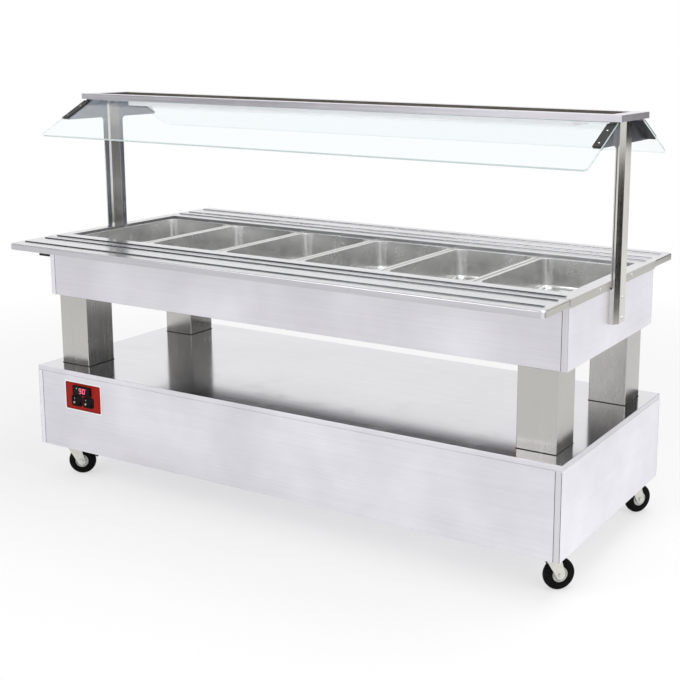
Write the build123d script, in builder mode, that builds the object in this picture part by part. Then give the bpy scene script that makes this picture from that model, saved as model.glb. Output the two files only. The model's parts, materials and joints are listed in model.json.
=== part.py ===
from build123d import *
from math import cos, radians, sin
import os

os.makedirs("parts", exist_ok=True)

# Sheet thicknesses in millimetres
panel_sheet = 1.5
floor_sheet = 2
tank_sheet = 1.2
pan_sheet = 1.2
post_sheet = 3
channel_sheet = 2
castor_sheet = 2.5
plastic_wall = 1.5

# Clearances
seam = 0.5
seat_gap = 0.3
pin_play = 0.05
hole_play = 0.2

# Base cabinet
base_length = 2094
base_width = 842
base_height = 299
shelf_lip = 18
shelf_return = 20
end_panel_depth = 20
panel_flange = 25

# Columns between the base and the well
column_size = 130
column_height = 257
column_corner = 3
column_inset_x = 30.5
column_inset_y = 8
column_plate = 3
cable_hole = 40

# Well and counter top
well_length = 2052
well_width = 712
counter_height = 900
top_overhang_x = 5
top_overhang_y = 2.5
end_lip = 27
side_lip = 22
ledge_drop = 11
ledge_flange = 8
rib_end_gap = 23
rib_width = 12
rib_height = 3.5
rib_bevel = 2
frame_rib_inset = 25

# Tray slides
slide_gap = 2.5
slide_width = 178
slide_lip = 22
slide_corner = 18
slide_inner_corner = 3
slide_rib_from_outer = 56
slide_rib_pitch = 92

# Slide hinges
hinge_inset = 24
hinge_drop = 34
hinge_end_inset = 55
hinge_pitch = 930
hinge_count = 3
hinge_pin = 4
lug_radius = 9
lug_height = 24
bracket_plate = 3
bracket_width = 60
bracket_height = 42
arm_width = 50
arm_sheet = 4
arm_eye = 16
arm_reach = 78
arm_rim = 8
release_reach = 45
release_drop = 58

# Gastronorm pans and the openings that hold them
pan_count = 6
pan_length = 530
pan_width = 325
pan_pitch = 330
pan_depth = 100
pan_rim = 14
pan_rim_height = 3
pan_rim_corner = 20
pan_corner = 42
pan_floor_round = 12
pan_taper = 5
pan_end_gap = 12
divider_width = 20
divider_height = 12
pan_clear = 1.5

# Water tank
tank_floor_gap = 38
heater_tube = 4
heater_height = 15
heater_half_width = 60
heater_end_gap = 60
heater_saddle = 12
saddle_overhang = 12
saddle_inset = 275

# Drain
drain_inset = 275
drain_y = 150
drain_pipe = 16
drain_bore = 12
valve_radius = 24
valve_length = 42
valve_gap = 22
spout_length = 24
stem_radius = 4
stem_boss = 10
stem_boss_length = 10
lever_length = 90
lever_width = 18
lever_sheet = 3
lever_gap = 3

# Castors
castor_height = 128
castor_inset_x = 72
castor_inset_y = 74
castor_trail = 40
wheel_radius = 50
wheel_width = 28
tyre_depth = 16
tyre_bevel = 4
rim_width = 24
hub_web = 6
hub_rim = 6
hub_boss = 12
axle_radius = 5
nut_radius = 9
nut_height = 6
castor_plate_length = 105
castor_plate_width = 80
castor_plate_sheet = 4
castor_plate_corner = 6
kingpin = 6
kingpin_head = 10
kingpin_head_height = 3
swivel_head = 24
swivel_head_chamfer = 3
crown_drop = 12
crown_sheet = 3
crown_reach = 38
leg_gap = 3
leg_top = 50
leg_end = 14
pedal_over_wheel = 5.5
pedal_width = 30
pedal_pin_angle = 110
pedal_pin = 2.5
pedal_barrel = 5
pedal_bend_angle = 35
tread_length = 22
tread_width = 38
tread_slope = 42
tread_slot = 20
tread_slot_width = 7

# Resting directions of the four castors, measured from +X towards +Y
castor_turn = {"fl": 29, "fr": 48, "br": 58, "bl": 40}
castor_side = {"fl": (-1, -1), "fr": (1, -1), "br": (1, 1), "bl": (-1, 1)}
braked = ("fl", "bl")

# Posts, glass and roof
stem_width = 100
stem_drop = 22
stem_corner = 8
arm_tip = 3
arm_fillet = 15
slope_angle = 27
slope_start = 100
slope_drop = 4.5
flange_length = 146
flange_reach = 24
lug_slot_length = 9
lug_slot_width = 4
lug_slot_pitch = 16
lug_slot_base = 44
lug_slot_inset = 8
channel_width = 88
channel_face = 48
channel_side = 7
channel_bevel = 12
channel_bottom = 763
inner_channel_width = 60
inner_channel_face = 46
inner_channel_depth = 5
inner_channel_sheet = 1.5
inner_channel_top_gap = 22
tab_reach = 49
tab_width = 90
gusset_size = 22
glass_thickness = 6
glass_start = 4
glass_length = 262
glass_corner = 14
clamp_start = 20
clamp_length = 128
clamp_width = 28
clamp_thickness = 3
clamp_screw_start = 38.4
clamp_screw_end = 20.5
roof_overhang = 38.5
roof_width = 238
roof_height = 20
roof_bottom = 1386
roof_margin = 45
lamp_inset = 131
lamp_width = 120
lamp_height = 24
diffuser_thickness = 3

# Control panel on the front of the base
plate_inset = 222
plate_drop = 91
plate_length = 178
plate_height = 110
plate_thickness = 1.5
plate_corner = 6
display_shift = -2.5
display_rise = 24
display_length = 87
display_height = 34
display_depth = 6
display_corner = 3
window_length = 62
window_height = 22
window_depth = 1
meter_length = 71
meter_height = 28
meter_depth = 55
button_x = 38
button_z = 6
button_length = 7
button_height = 6
button_proud = 1.5
button_depth = 4
button_travel = 1
heat_switch_shift = -30
light_switch_shift = 25.5
switch_drop = 16
bezel_length = 50
bezel_height = 40
bezel_thickness = 3
bezel_corner = 9
tub_depth = 22
rocker_length = 36
rocker_radius = 16.5
rocker_depth = 5
rocker_rise = 9
rocker_valley = 2.5
rocker_tilt = 9
rocker_inset = 6
rocker_pin = 1.5
rocker_pin_length = 1
control_box_length = 190
control_box_height = 130
control_box_depth = 78

# Cable gland at the back
gland_inset = 197
gland_rise = 37
gland_radius = 10
gland_nut = 15
gland_collar = 12
gland_nut_height = 6
gland_dome = 18
gland_taper = 12
gland_bore = 5

# Fasteners
screw_shank = 2.5
screw_head = 5.5
screw_head_height = 2.5
channel_screw_rise = 15
channel_screw_pitch = 65
lip_screw_y = 135
lip_screw_drop = 12
plate_bolt_y = 20
plate_bolt_drop = 11
tab_bolt_inset = 31
tab_bolt_y = 25
bolt_head_height = 5
bolt_head = 7

# Heights and half sizes worked out from the values above
base_x = base_length / 2
base_y = base_width / 2
base_top = castor_height + base_height
base_panel_top = base_top - shelf_lip
plate_x = plate_inset - base_x
plate_z = base_top - plate_drop
display_x = plate_x + display_shift
display_z = plate_z + display_rise
switch_x = (plate_x + heat_switch_shift, plate_x + light_switch_shift)
switch_z = plate_z - switch_drop
gland_x = gland_inset - base_x
gland_z = castor_height + gland_rise
well_x = well_length / 2
well_y = well_width / 2
well_bottom = base_top + column_height
well_top = counter_height - panel_sheet
top_x = well_x + top_overhang_x
top_y = well_y + top_overhang_y
rib_length = 2 * (top_x - rib_end_gap)
hinge_span = top_x - hinge_end_inset
slide_inner = top_y + slide_gap
slide_outer = slide_inner + slide_width
slide_centre = (slide_inner + slide_outer) / 2
opening_x = pan_count * pan_pitch / 2
opening_y = pan_length / 2 + pan_end_gap
ledge_z = counter_height - ledge_drop
pan_top = ledge_z + pan_rim_height
tank_x = opening_x - (pan_pitch - pan_width) / 2 - pan_rim + pan_clear
tank_y = pan_length / 2 - pan_rim + pan_clear
tank_top = ledge_z - tank_sheet
tank_floor_height = well_bottom + 2 * panel_sheet + tank_floor_gap
drain_x = tank_x - drain_inset
hinge_y = slide_inner + hinge_inset
hinge_z = counter_height - hinge_drop
post_x = top_x + post_sheet
slope_top = roof_bottom - slope_drop
roof_length = 2 * (post_x + roof_overhang)


def folded_section(plane, points, thickness, side=Side.LEFT):
    """Section of a folded sheet that follows the points with one face."""
    with BuildSketch(plane) as section:
        with BuildLine():
            Polyline(*points)
            offset(amount=thickness, side=side, kind=Kind.INTERSECTION)
        make_face()
    return section.sketch


def end_plane(end, distance):
    """Upright plane across the length, facing outward; end is -1 or 1."""
    return Plane(origin=(end * distance, 0, 0), x_dir=(0, end, 0), z_dir=(end, 0, 0))


def finish(part, name):
    """Label a finished part and write its file."""
    part.label = name
    export_step(part, f"parts/{name}.step")


# Base cabinet

with BuildPart() as base_floor:
    with BuildSketch(Plane.XY.offset(castor_height)):
        Rectangle(
            2 * (base_x - end_panel_depth - seat_gap),
            2 * (base_y - panel_sheet - seat_gap),
        )
    extrude(amount=floor_sheet)
finish(base_floor.part, "base_floor")

base_panel_half = base_x - end_panel_depth - seam
meter_cut_length = meter_length + 2 * seat_gap
tub_length = rocker_length + 2 * (seat_gap + plastic_wall)
tub_height = 2 * (rocker_radius + seat_gap + plastic_wall)

with BuildPart() as base_front_panel:
    extrude(
        folded_section(
            Plane.YZ.offset(-base_panel_half),
            [
                (-base_y, castor_height),
                (-base_y, base_panel_top),
                (-base_y + panel_flange, base_panel_top),
            ],
            panel_sheet,
            Side.RIGHT,
        ),
        amount=2 * base_panel_half,
    )
    with BuildSketch(Plane.XZ.offset(base_y)):
        with Locations((display_x, display_z)):
            Rectangle(meter_cut_length, meter_height + 2 * seat_gap)
        for centre in switch_x:
            with Locations((centre, switch_z)):
                Rectangle(tub_length + 2 * seat_gap, tub_height + 2 * seat_gap)
    extrude(amount=-2 * panel_sheet, mode=Mode.SUBTRACT)
finish(base_front_panel.part, "base_front_panel")

with BuildPart() as base_rear_panel:
    extrude(
        folded_section(
            Plane.YZ.offset(-base_panel_half),
            [
                (base_y, castor_height),
                (base_y, base_panel_top),
                (base_y - panel_flange, base_panel_top),
            ],
            panel_sheet,
            Side.LEFT,
        ),
        amount=2 * base_panel_half,
    )
    with BuildSketch(Plane.XZ.offset(-base_y)):
        with Locations((gland_x, gland_z)):
            Circle(gland_radius + hole_play)
    extrude(amount=2 * panel_sheet, mode=Mode.SUBTRACT)
finish(base_rear_panel.part, "base_rear_panel")

with BuildPart() as base_end_panels:
    with BuildSketch(Plane.YZ.offset(base_x)):
        with Locations((0, (castor_height + base_panel_top) / 2)):
            Rectangle(base_width, base_panel_top - castor_height)
    extrude(amount=-end_panel_depth)
    inner_face = base_end_panels.faces().sort_by(Axis.X)[0]
    offset(amount=-panel_sheet, openings=inner_face)
    mirror(about=Plane.YZ)
finish(base_end_panels.part, "base_end_panels")

with BuildPart() as base_shelf:
    with BuildSketch(Plane.XY.offset(base_panel_top)):
        Rectangle(base_length, base_width)
    extrude(amount=shelf_lip)
    underside = base_shelf.faces().sort_by(Axis.Z)[0]
    offset(amount=-panel_sheet, openings=underside)
    with BuildSketch(Plane.XY.offset(base_panel_top)):
        Rectangle(base_length, base_width)
        Rectangle(base_length - 2 * shelf_return, base_width - 2 * shelf_return, mode=Mode.SUBTRACT)
    extrude(amount=panel_sheet)
finish(base_shelf.part, "base_shelf")

# Columns

column_x = well_x - column_inset_x - column_size / 2
column_y = well_y - column_inset_y - column_size / 2

with BuildPart() as columns:
    with BuildSketch(Plane.XY.offset(base_top)):
        with GridLocations(2 * column_x, 2 * column_y, 2, 2):
            RectangleRounded(column_size, column_size, column_corner)
            RectangleRounded(
                column_size - 2 * panel_sheet,
                column_size - 2 * panel_sheet,
                column_corner - panel_sheet,
                mode=Mode.SUBTRACT,
            )
    extrude(amount=column_height)
    for plate_height_z in (base_top, well_bottom - column_plate):
        with BuildSketch(Plane.XY.offset(plate_height_z)):
            with GridLocations(2 * column_x, 2 * column_y, 2, 2):
                Rectangle(column_size - 2 * panel_sheet, column_size - 2 * panel_sheet)
                Rectangle(cable_hole, cable_hole, mode=Mode.SUBTRACT)
        extrude(amount=column_plate)
finish(columns.part, "columns")

# Well casing

well_panel_half = well_x - end_panel_depth - seam

with BuildPart() as well_long_panels:
    extrude(
        folded_section(
            Plane.YZ.offset(-well_panel_half),
            [
                (well_y - panel_flange, well_bottom),
                (well_y, well_bottom),
                (well_y, well_top),
                (well_y - panel_flange, well_top),
            ],
            panel_sheet,
        ),
        amount=2 * well_panel_half,
    )
    mirror(about=Plane.XZ)
finish(well_long_panels.part, "well_long_panels")

channel_screw_low = channel_bottom + channel_screw_rise
channel_screw_heights = (channel_screw_low, channel_screw_low + channel_screw_pitch)
lip_screw_z = counter_height - lip_screw_drop

with BuildPart() as well_end_panels:
    with BuildSketch(Plane.YZ.offset(well_x)):
        with Locations((0, (well_bottom + well_top) / 2)):
            Rectangle(well_width, well_top - well_bottom)
    extrude(amount=-end_panel_depth)
    inner_face = well_end_panels.faces().sort_by(Axis.X)[0]
    offset(amount=-panel_sheet, openings=inner_face)
    with BuildSketch(Plane.YZ.offset(well_x)):
        with Locations(*[(0, height) for height in channel_screw_heights]):
            Circle(screw_shank + hole_play)
        with Locations((-lip_screw_y, lip_screw_z), (lip_screw_y, lip_screw_z)):
            Circle(screw_shank + hole_play)
    extrude(amount=-2 * panel_sheet, mode=Mode.SUBTRACT)
    mirror(about=Plane.YZ)
finish(well_end_panels.part, "well_end_panels")

with BuildPart() as well_floor:
    with BuildSketch(Plane.XY.offset(well_bottom + panel_sheet)):
        Rectangle(
            2 * (well_x - panel_sheet - seat_gap),
            2 * (well_y - panel_sheet - seat_gap),
        )
        with Locations((drain_x, drain_y)):
            Circle(drain_pipe + seat_gap, mode=Mode.SUBTRACT)
    extrude(amount=panel_sheet)
finish(well_floor.part, "well_floor")

# Water tank, its heating element and its drain

tank_wall_foot = tank_floor_height + tank_sheet + seat_gap
tank_flange_x = opening_x + ledge_flange
tank_flange_y = opening_y + ledge_flange


def tank_wall(outward, face, flange_edge, wall_length, flange_length):
    """Wall that stands on the tank floor, with a flange turned outwards along its top."""
    section = Plane(
        origin=(0, 0, 0),
        x_dir=outward,
        z_dir=Vector(outward).cross(Vector(0, 0, 1)),
    )
    with BuildPart() as wall:
        with BuildSketch(section):
            with Locations((face, tank_wall_foot)):
                Rectangle(tank_sheet, ledge_z - tank_wall_foot, align=Align.MIN)
        extrude(amount=wall_length / 2, both=True)
        with BuildSketch(section):
            with Locations((face, tank_top)):
                Rectangle(flange_edge - face, tank_sheet, align=Align.MIN)
        extrude(amount=flange_length / 2, both=True)
    return wall.part


with BuildPart() as tank:
    with BuildSketch(Plane.XY.offset(tank_floor_height)):
        Rectangle(2 * (tank_x + tank_sheet), 2 * (tank_y + tank_sheet))
        with Locations((drain_x, drain_y)):
            Circle(drain_bore, mode=Mode.SUBTRACT)
    extrude(amount=tank_sheet)
    for side in (-1, 1):
        add(
            tank_wall(
                (0, side, 0),
                tank_y,
                tank_flange_y,
                2 * (tank_x + tank_sheet),
                2 * tank_flange_x,
            )
        )
        add(
            tank_wall(
                (side, 0, 0),
                tank_x,
                tank_flange_x,
                2 * (tank_y - seat_gap),
                2 * (tank_y - seat_gap),
            )
        )
finish(tank.part, "tank")

tube_z = tank_floor_height + tank_sheet + heater_height
heater_turn_x = tank_x - heater_end_gap - heater_half_width
saddle_x = tank_x - saddle_inset
saddle_height = heater_height - heater_tube - seat_gap

with BuildPart() as heating_element:
    with BuildLine():
        run_out = Line(
            (tank_x - seat_gap, -heater_half_width, tube_z),
            (-heater_turn_x, -heater_half_width, tube_z),
        )
        bend = ThreePointArc(
            run_out @ 1,
            (-heater_turn_x - heater_half_width, 0, tube_z),
            (-heater_turn_x, heater_half_width, tube_z),
        )
        Line(bend @ 1, (tank_x - seat_gap, heater_half_width, tube_z))
    with BuildSketch(Plane(origin=run_out @ 0, z_dir=run_out % 0)):
        Circle(heater_tube)
    sweep()
    with BuildSketch(Plane.XY.offset(tank_floor_height + tank_sheet)):
        with Locations((-saddle_x, 0), (0, 0), (saddle_x, 0)):
            Rectangle(heater_saddle, 2 * (heater_half_width + saddle_overhang))
    extrude(amount=saddle_height)
finish(heating_element.part, "heating_element")

valve_top = well_bottom - valve_gap
valve_bottom = valve_top - valve_length
stem_z = (valve_top + valve_bottom) / 2
stem_front = drain_y + valve_radius + stem_boss_length
stem_back = drain_y + drain_bore

with BuildPart() as drain_valve:
    with BuildSketch(Plane.XY.offset(valve_top)):
        with Locations((drain_x, drain_y)):
            Circle(drain_pipe)
    extrude(amount=tank_floor_height - valve_top)
    with BuildSketch(Plane.XY.offset(valve_bottom)):
        with Locations((drain_x, drain_y)):
            RegularPolygon(valve_radius, 8)
    extrude(amount=valve_length)
    with BuildSketch(Plane.XY.offset(valve_bottom - spout_length)):
        with Locations((drain_x, drain_y)):
            Circle(drain_pipe)
    extrude(amount=spout_length)
    with BuildSketch(Plane.XZ.offset(-stem_front)):
        with Locations((drain_x, stem_z)):
            Circle(stem_boss)
    extrude(amount=stem_boss_length + valve_radius)
    with BuildSketch(Plane.XY.offset(valve_bottom - spout_length)):
        with Locations((drain_x, drain_y)):
            Circle(drain_bore)
    extrude(amount=tank_floor_height - valve_bottom + spout_length, mode=Mode.SUBTRACT)
    with BuildSketch(Plane.XZ.offset(-stem_front)):
        with Locations((drain_x, stem_z)):
            Circle(stem_radius + pin_play)
    extrude(amount=stem_front - stem_back, mode=Mode.SUBTRACT)
finish(drain_valve.part, "drain_valve")

lever_plane = Plane.XZ.offset(-(stem_front + lever_gap))

with BuildPart() as drain_lever:
    with BuildSketch(lever_plane.offset(-lever_sheet)):
        with Locations((drain_x - lever_length / 2, stem_z)):
            SlotCenterToCenter(lever_length, lever_width)
    extrude(amount=lever_sheet)
    with BuildSketch(lever_plane):
        with Locations((drain_x, stem_z)):
            Circle(stem_radius)
    extrude(amount=stem_front + lever_gap - stem_back - seat_gap)
finish(drain_lever.part, "drain_lever")

# Counter top, with the opening for the pans

with BuildPart() as counter_top:
    with BuildSketch(Plane.XY.offset(counter_height)):
        Rectangle(2 * top_x, 2 * top_y)
    extrude(amount=-end_lip)
    underside = counter_top.faces().sort_by(Axis.Z)[0]
    offset(amount=-panel_sheet, openings=underside)
    with BuildSketch(Plane.XY.offset(counter_height - end_lip)):
        Rectangle(2 * (top_x - panel_sheet), 2 * top_y)
    extrude(amount=end_lip - side_lip, mode=Mode.SUBTRACT)
    with BuildSketch(Plane.XY.offset(ledge_z)):
        Rectangle(2 * (opening_x + panel_sheet), 2 * (opening_y + panel_sheet))
    extrude(amount=ledge_drop)
    with BuildSketch(Plane.XY.offset(ledge_z)):
        Rectangle(2 * opening_x, 2 * opening_y)
    extrude(amount=ledge_drop, mode=Mode.SUBTRACT)
    for end in (-1, 1):
        with BuildSketch(end_plane(end, top_x)):
            with Locations((-lip_screw_y, lip_screw_z), (lip_screw_y, lip_screw_z)):
                Circle(screw_shank + hole_play)
        extrude(amount=-2 * panel_sheet, mode=Mode.SUBTRACT)
    with BuildSketch(Plane.XY.offset(counter_height)):
        for side in (-1, 1):
            with Locations((0, side * (top_y - frame_rib_inset))):
                SlotOverall(rib_length, rib_width)
    extrude(amount=rib_height)
    chamfer(counter_top.edges().group_by(Axis.Z)[-1], rib_bevel)
finish(counter_top.part, "counter_top")

with BuildPart() as divider_bars:
    with BuildSketch(Plane.XZ.offset(-(tank_y - seat_gap))):
        for number in range(1, pan_count):
            with Locations((number * pan_pitch - opening_x, ledge_z - divider_height / 2)):
                Rectangle(divider_width, divider_height)
            with Locations((number * pan_pitch - opening_x, ledge_z - (divider_height + panel_sheet) / 2)):
                Rectangle(
                    divider_width - 2 * panel_sheet,
                    divider_height - panel_sheet,
                    mode=Mode.SUBTRACT,
                )
    extrude(amount=2 * (tank_y - seat_gap))
finish(divider_bars.part, "divider_bars")


def pan_body(centre_x, inset):
    """Tapered tub of a pan, shrunk all over by the inset."""
    with BuildPart() as body:
        with BuildSketch(Plane(origin=(centre_x, 0, pan_top))):
            RectangleRounded(
                pan_width - 2 * (pan_rim + inset),
                pan_length - 2 * (pan_rim + inset),
                pan_corner - inset,
            )
        extrude(amount=-(pan_depth - inset), taper=pan_taper)
        fillet(body.edges().group_by(Axis.Z)[0], pan_floor_round - inset)
    return body.part


def gastronorm_pan(number):
    """One pan, hanging by its rim in the opening that has this number."""
    centre_x = (number - 0.5) * pan_pitch - opening_x
    rim_plane = Plane(origin=(centre_x, 0, pan_top))
    outer = pan_body(centre_x, 0)
    inner = pan_body(centre_x, pan_sheet)
    with BuildPart() as pan:
        add(outer)
        with BuildSketch(rim_plane.offset(-pan_sheet)):
            RectangleRounded(pan_width, pan_length, pan_rim_corner)
        extrude(amount=pan_sheet)
        with BuildSketch(rim_plane.offset(-pan_rim_height)):
            RectangleRounded(pan_width, pan_length, pan_rim_corner)
            RectangleRounded(
                pan_width - 2 * pan_sheet,
                pan_length - 2 * pan_sheet,
                pan_rim_corner - pan_sheet,
                mode=Mode.SUBTRACT,
            )
        extrude(amount=pan_rim_height)
        add(inner, mode=Mode.SUBTRACT)
    return pan.part


for number in range(1, pan_count + 1):
    finish(gastronorm_pan(number), f"pan_{number}")

# Tray slides and their drop hinges

rib_lines = (
    slide_outer - slide_rib_from_outer,
    slide_outer - slide_rib_from_outer - slide_rib_pitch,
)


def tray_slide(side):
    """Drop-leaf shelf along one long side; side is -1 in front and 1 behind."""
    with BuildPart() as slide:
        with BuildSketch(Plane.XY.offset(counter_height)) as outline:
            with Locations((0, side * slide_centre)):
                Rectangle(2 * top_x, slide_width)
            corners = outline.vertices().sort_by(Axis.Y)
            outer_corners = corners[:2] if side < 0 else corners[-2:]
            inner_corners = corners[-2:] if side < 0 else corners[:2]
            fillet(outer_corners, slide_corner)
            fillet(inner_corners, slide_inner_corner)
        extrude(amount=-slide_lip)
        offset(amount=-panel_sheet, openings=slide.faces().sort_by(Axis.Z)[0])
        with BuildSketch(Plane.XY.offset(counter_height)):
            with Locations(*[(0, side * line) for line in rib_lines]):
                SlotOverall(rib_length, rib_width)
        extrude(amount=rib_height)
        chamfer(slide.edges().group_by(Axis.Z)[-1], rib_bevel)
    return slide.part


def hinge_places(side):
    """Centres of the hinges along one side, starting at its release tongue."""
    return [side * (hinge_span - number * hinge_pitch) for number in range(hinge_count)]


def slide_arms(side):
    """The hinged arms under one slide; the end one has a release tongue."""
    arm_top = counter_height - panel_sheet
    arm_start = side * (hinge_y - arm_eye)
    arm_end = side * (hinge_y + arm_reach)
    with BuildPart() as arms:
        for place in hinge_places(side):
            for cheek in (place - arm_width / 2, place + arm_width / 2 - arm_sheet):
                with BuildSketch(Plane.YZ.offset(cheek)):
                    with Locations((side * hinge_y, hinge_z)):
                        Circle(arm_eye)
                    with Locations(((arm_start + arm_end) / 2, arm_top - arm_rim / 2)):
                        Rectangle(arm_reach + arm_eye, arm_rim)
                    make_hull()
                    with Locations((side * hinge_y, hinge_z)):
                        Circle(hinge_pin + pin_play, mode=Mode.SUBTRACT)
                extrude(amount=arm_sheet)
            with BuildSketch(Plane.XY.offset(arm_top)):
                with Locations((place, (arm_start + arm_end) / 2)):
                    Rectangle(arm_width, arm_reach + arm_eye)
            extrude(amount=-arm_sheet)
        with BuildSketch(Plane.XZ.offset(-side * (hinge_y + release_reach))):
            with Locations((side * hinge_span, counter_height - (release_drop + panel_sheet) / 2)):
                Rectangle(arm_width, release_drop - panel_sheet)
        extrude(amount=side * arm_sheet)
    return arms.part


lug_top = hinge_z + lug_radius - seam

with BuildPart() as hinge_brackets:
    for side in (-1, 1):
        for place in hinge_places(side):
            lug_width = arm_width - 2 * arm_sheet - 2 * seat_gap
            with BuildSketch(Plane.XZ.offset(-side * well_y)):
                with Locations((place, lug_top - bracket_height / 2)):
                    Rectangle(bracket_width, bracket_height)
            extrude(amount=-side * bracket_plate)
            with BuildSketch(Plane.YZ.offset(place - lug_width / 2)):
                with Locations((side * hinge_y, hinge_z)):
                    Circle(lug_radius)
                with Locations((side * (well_y + bracket_plate / 2), lug_top - lug_height / 2)):
                    Rectangle(bracket_plate, lug_height)
                make_hull()
            extrude(amount=lug_width)
            with BuildSketch(Plane.YZ.offset(place - arm_width / 2)):
                with Locations((side * hinge_y, hinge_z)):
                    Circle(hinge_pin)
            extrude(amount=arm_width)
finish(hinge_brackets.part, "hinge_brackets")

finish(tray_slide(-1), "tray_slide_front")
finish(tray_slide(1), "tray_slide_rear")
finish(slide_arms(-1), "slide_arms_front")
finish(slide_arms(1), "slide_arms_rear")

# Castors

crown_z = castor_height - castor_plate_sheet - crown_drop
crown_underside = crown_z - crown_sheet
leg_inside = wheel_width / 2 + leg_gap
leg_outside = leg_inside + castor_sheet
pedal_inner = wheel_radius + pedal_over_wheel
pedal_middle = pedal_inner + castor_sheet / 2
pin_u = castor_trail + pedal_middle * cos(radians(pedal_pin_angle))
pin_z = wheel_radius + pedal_middle * sin(radians(pedal_pin_angle))
bend_u = castor_trail + pedal_middle * cos(radians(pedal_bend_angle))
bend_z = wheel_radius + pedal_middle * sin(radians(pedal_bend_angle))


def castor_origin(corner):
    """Point on the floor under one castor's swivel axis."""
    side_x, side_y = castor_side[corner]
    return (side_x * (base_x - castor_inset_x), side_y * (base_y - castor_inset_y), 0)


def castor_plan(corner):
    """Horizontal plane of one castor, its x axis along the trail."""
    turn = radians(castor_turn[corner])
    return Plane(origin=castor_origin(corner), x_dir=(cos(turn), sin(turn), 0), z_dir=(0, 0, 1))


def castor_elevation(corner):
    """Upright plane of one castor through its swivel axis, along the trail."""
    turn = radians(castor_turn[corner])
    return Plane(
        origin=castor_origin(corner),
        x_dir=(cos(turn), sin(turn), 0),
        z_dir=(sin(turn), -cos(turn), 0),
    )


def wheel_section(corner):
    """Upright plane through one wheel's centre, its x axis along the axle."""
    turn = radians(castor_turn[corner])
    start = Vector(*castor_origin(corner))
    centre = start + Vector(castor_trail * cos(turn), castor_trail * sin(turn), wheel_radius)
    return Plane(origin=centre, x_dir=(-sin(turn), cos(turn), 0), z_dir=(cos(turn), sin(turn), 0))


with BuildPart() as castor_plates:
    for corner in castor_side:
        origin = castor_origin(corner)
        plate_base = Plane(origin=(origin[0], origin[1], castor_height - castor_plate_sheet))
        with BuildSketch(plate_base):
            RectangleRounded(castor_plate_length, castor_plate_width, castor_plate_corner)
        extrude(amount=castor_plate_sheet)
        with BuildSketch(plate_base):
            Circle(kingpin)
        extrude(amount=-(crown_drop + crown_sheet + seat_gap))
        with BuildSketch(plate_base.offset(-(crown_drop + crown_sheet + seat_gap))):
            Circle(kingpin_head)
        extrude(amount=-kingpin_head_height)
finish(castor_plates.part, "castor_plates")


def castor_fork(corner):
    """Swivelling fork with its axle bolt and, on a braked castor, the pedal pin."""
    plan = castor_plan(corner)
    elevation = castor_elevation(corner)
    with BuildPart() as fork:
        with BuildSketch(plan.offset(crown_underside)):
            Circle(swivel_head)
            with Locations((crown_reach / 2, 0)):
                Rectangle(crown_reach, 2 * leg_outside)
        extrude(amount=crown_sheet)
        with BuildSketch(plan.offset(crown_z)):
            Circle(swivel_head)
        extrude(amount=crown_drop - seat_gap)
        chamfer(fork.edges().group_by(Axis.Z)[-1], swivel_head_chamfer)
        for leg_plane in (elevation.offset(leg_inside), elevation.offset(-leg_outside)):
            with BuildSketch(leg_plane):
                with Locations((castor_trail, wheel_radius)):
                    Circle(leg_end)
                with Locations((crown_reach - leg_top / 2, crown_z - crown_sheet / 2)):
                    Rectangle(leg_top, crown_sheet)
                make_hull()
                with Locations((castor_trail, wheel_radius)):
                    Circle(axle_radius + pin_play, mode=Mode.SUBTRACT)
            extrude(amount=castor_sheet)
        with BuildSketch(plan.offset(crown_underside)):
            Circle(kingpin + pin_play)
        extrude(amount=castor_height, mode=Mode.SUBTRACT)
        if corner in braked:
            with BuildSketch(elevation.offset(-leg_outside)):
                with Locations((pin_u, pin_z)):
                    Circle(pedal_pin)
            extrude(amount=2 * leg_outside)
        nut_start = leg_outside + hole_play
        with BuildSketch(elevation.offset(-nut_start)):
            with Locations((castor_trail, wheel_radius)):
                Circle(axle_radius)
        extrude(amount=2 * nut_start)
        for start, height in ((nut_start, nut_height), (-nut_start, -nut_height)):
            with BuildSketch(elevation.offset(start)):
                with Locations((castor_trail, wheel_radius)):
                    RegularPolygon(nut_radius, 6)
            extrude(amount=height)
    return fork.part


def castor_hub(corner):
    """Wheel centre with a rim, a web and a bored boss."""
    section = wheel_section(corner)
    hub_radius = wheel_radius - tyre_depth
    boss_half = leg_inside - seat_gap
    with BuildPart() as hub:
        with BuildSketch(section):
            with BuildLine():
                Polyline(
                    (0, axle_radius + pin_play),
                    (boss_half, axle_radius + pin_play),
                    (boss_half, hub_boss),
                    (hub_web / 2, hub_boss),
                    (hub_web / 2, hub_radius - hub_rim),
                    (rim_width / 2, hub_radius - hub_rim / 2),
                    (rim_width / 2, hub_radius - pin_play),
                    (0, hub_radius - pin_play),
                    (0, axle_radius + pin_play),
                )
            make_face()
            mirror(about=Plane.YZ)
        revolve(axis=Axis(section.origin, section.x_dir))
    return hub.part


def castor_tyre(corner):
    """Tyre with bevelled shoulders."""
    section = wheel_section(corner)
    with BuildPart() as tyre:
        with BuildSketch(section) as profile:
            with Locations((0, wheel_radius - tyre_depth / 2)):
                Rectangle(wheel_width, tyre_depth)
            chamfer(profile.vertices().group_by(Axis.Y)[-1], tyre_bevel)
        revolve(axis=Axis(section.origin, section.x_dir))
    return tyre.part


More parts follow.
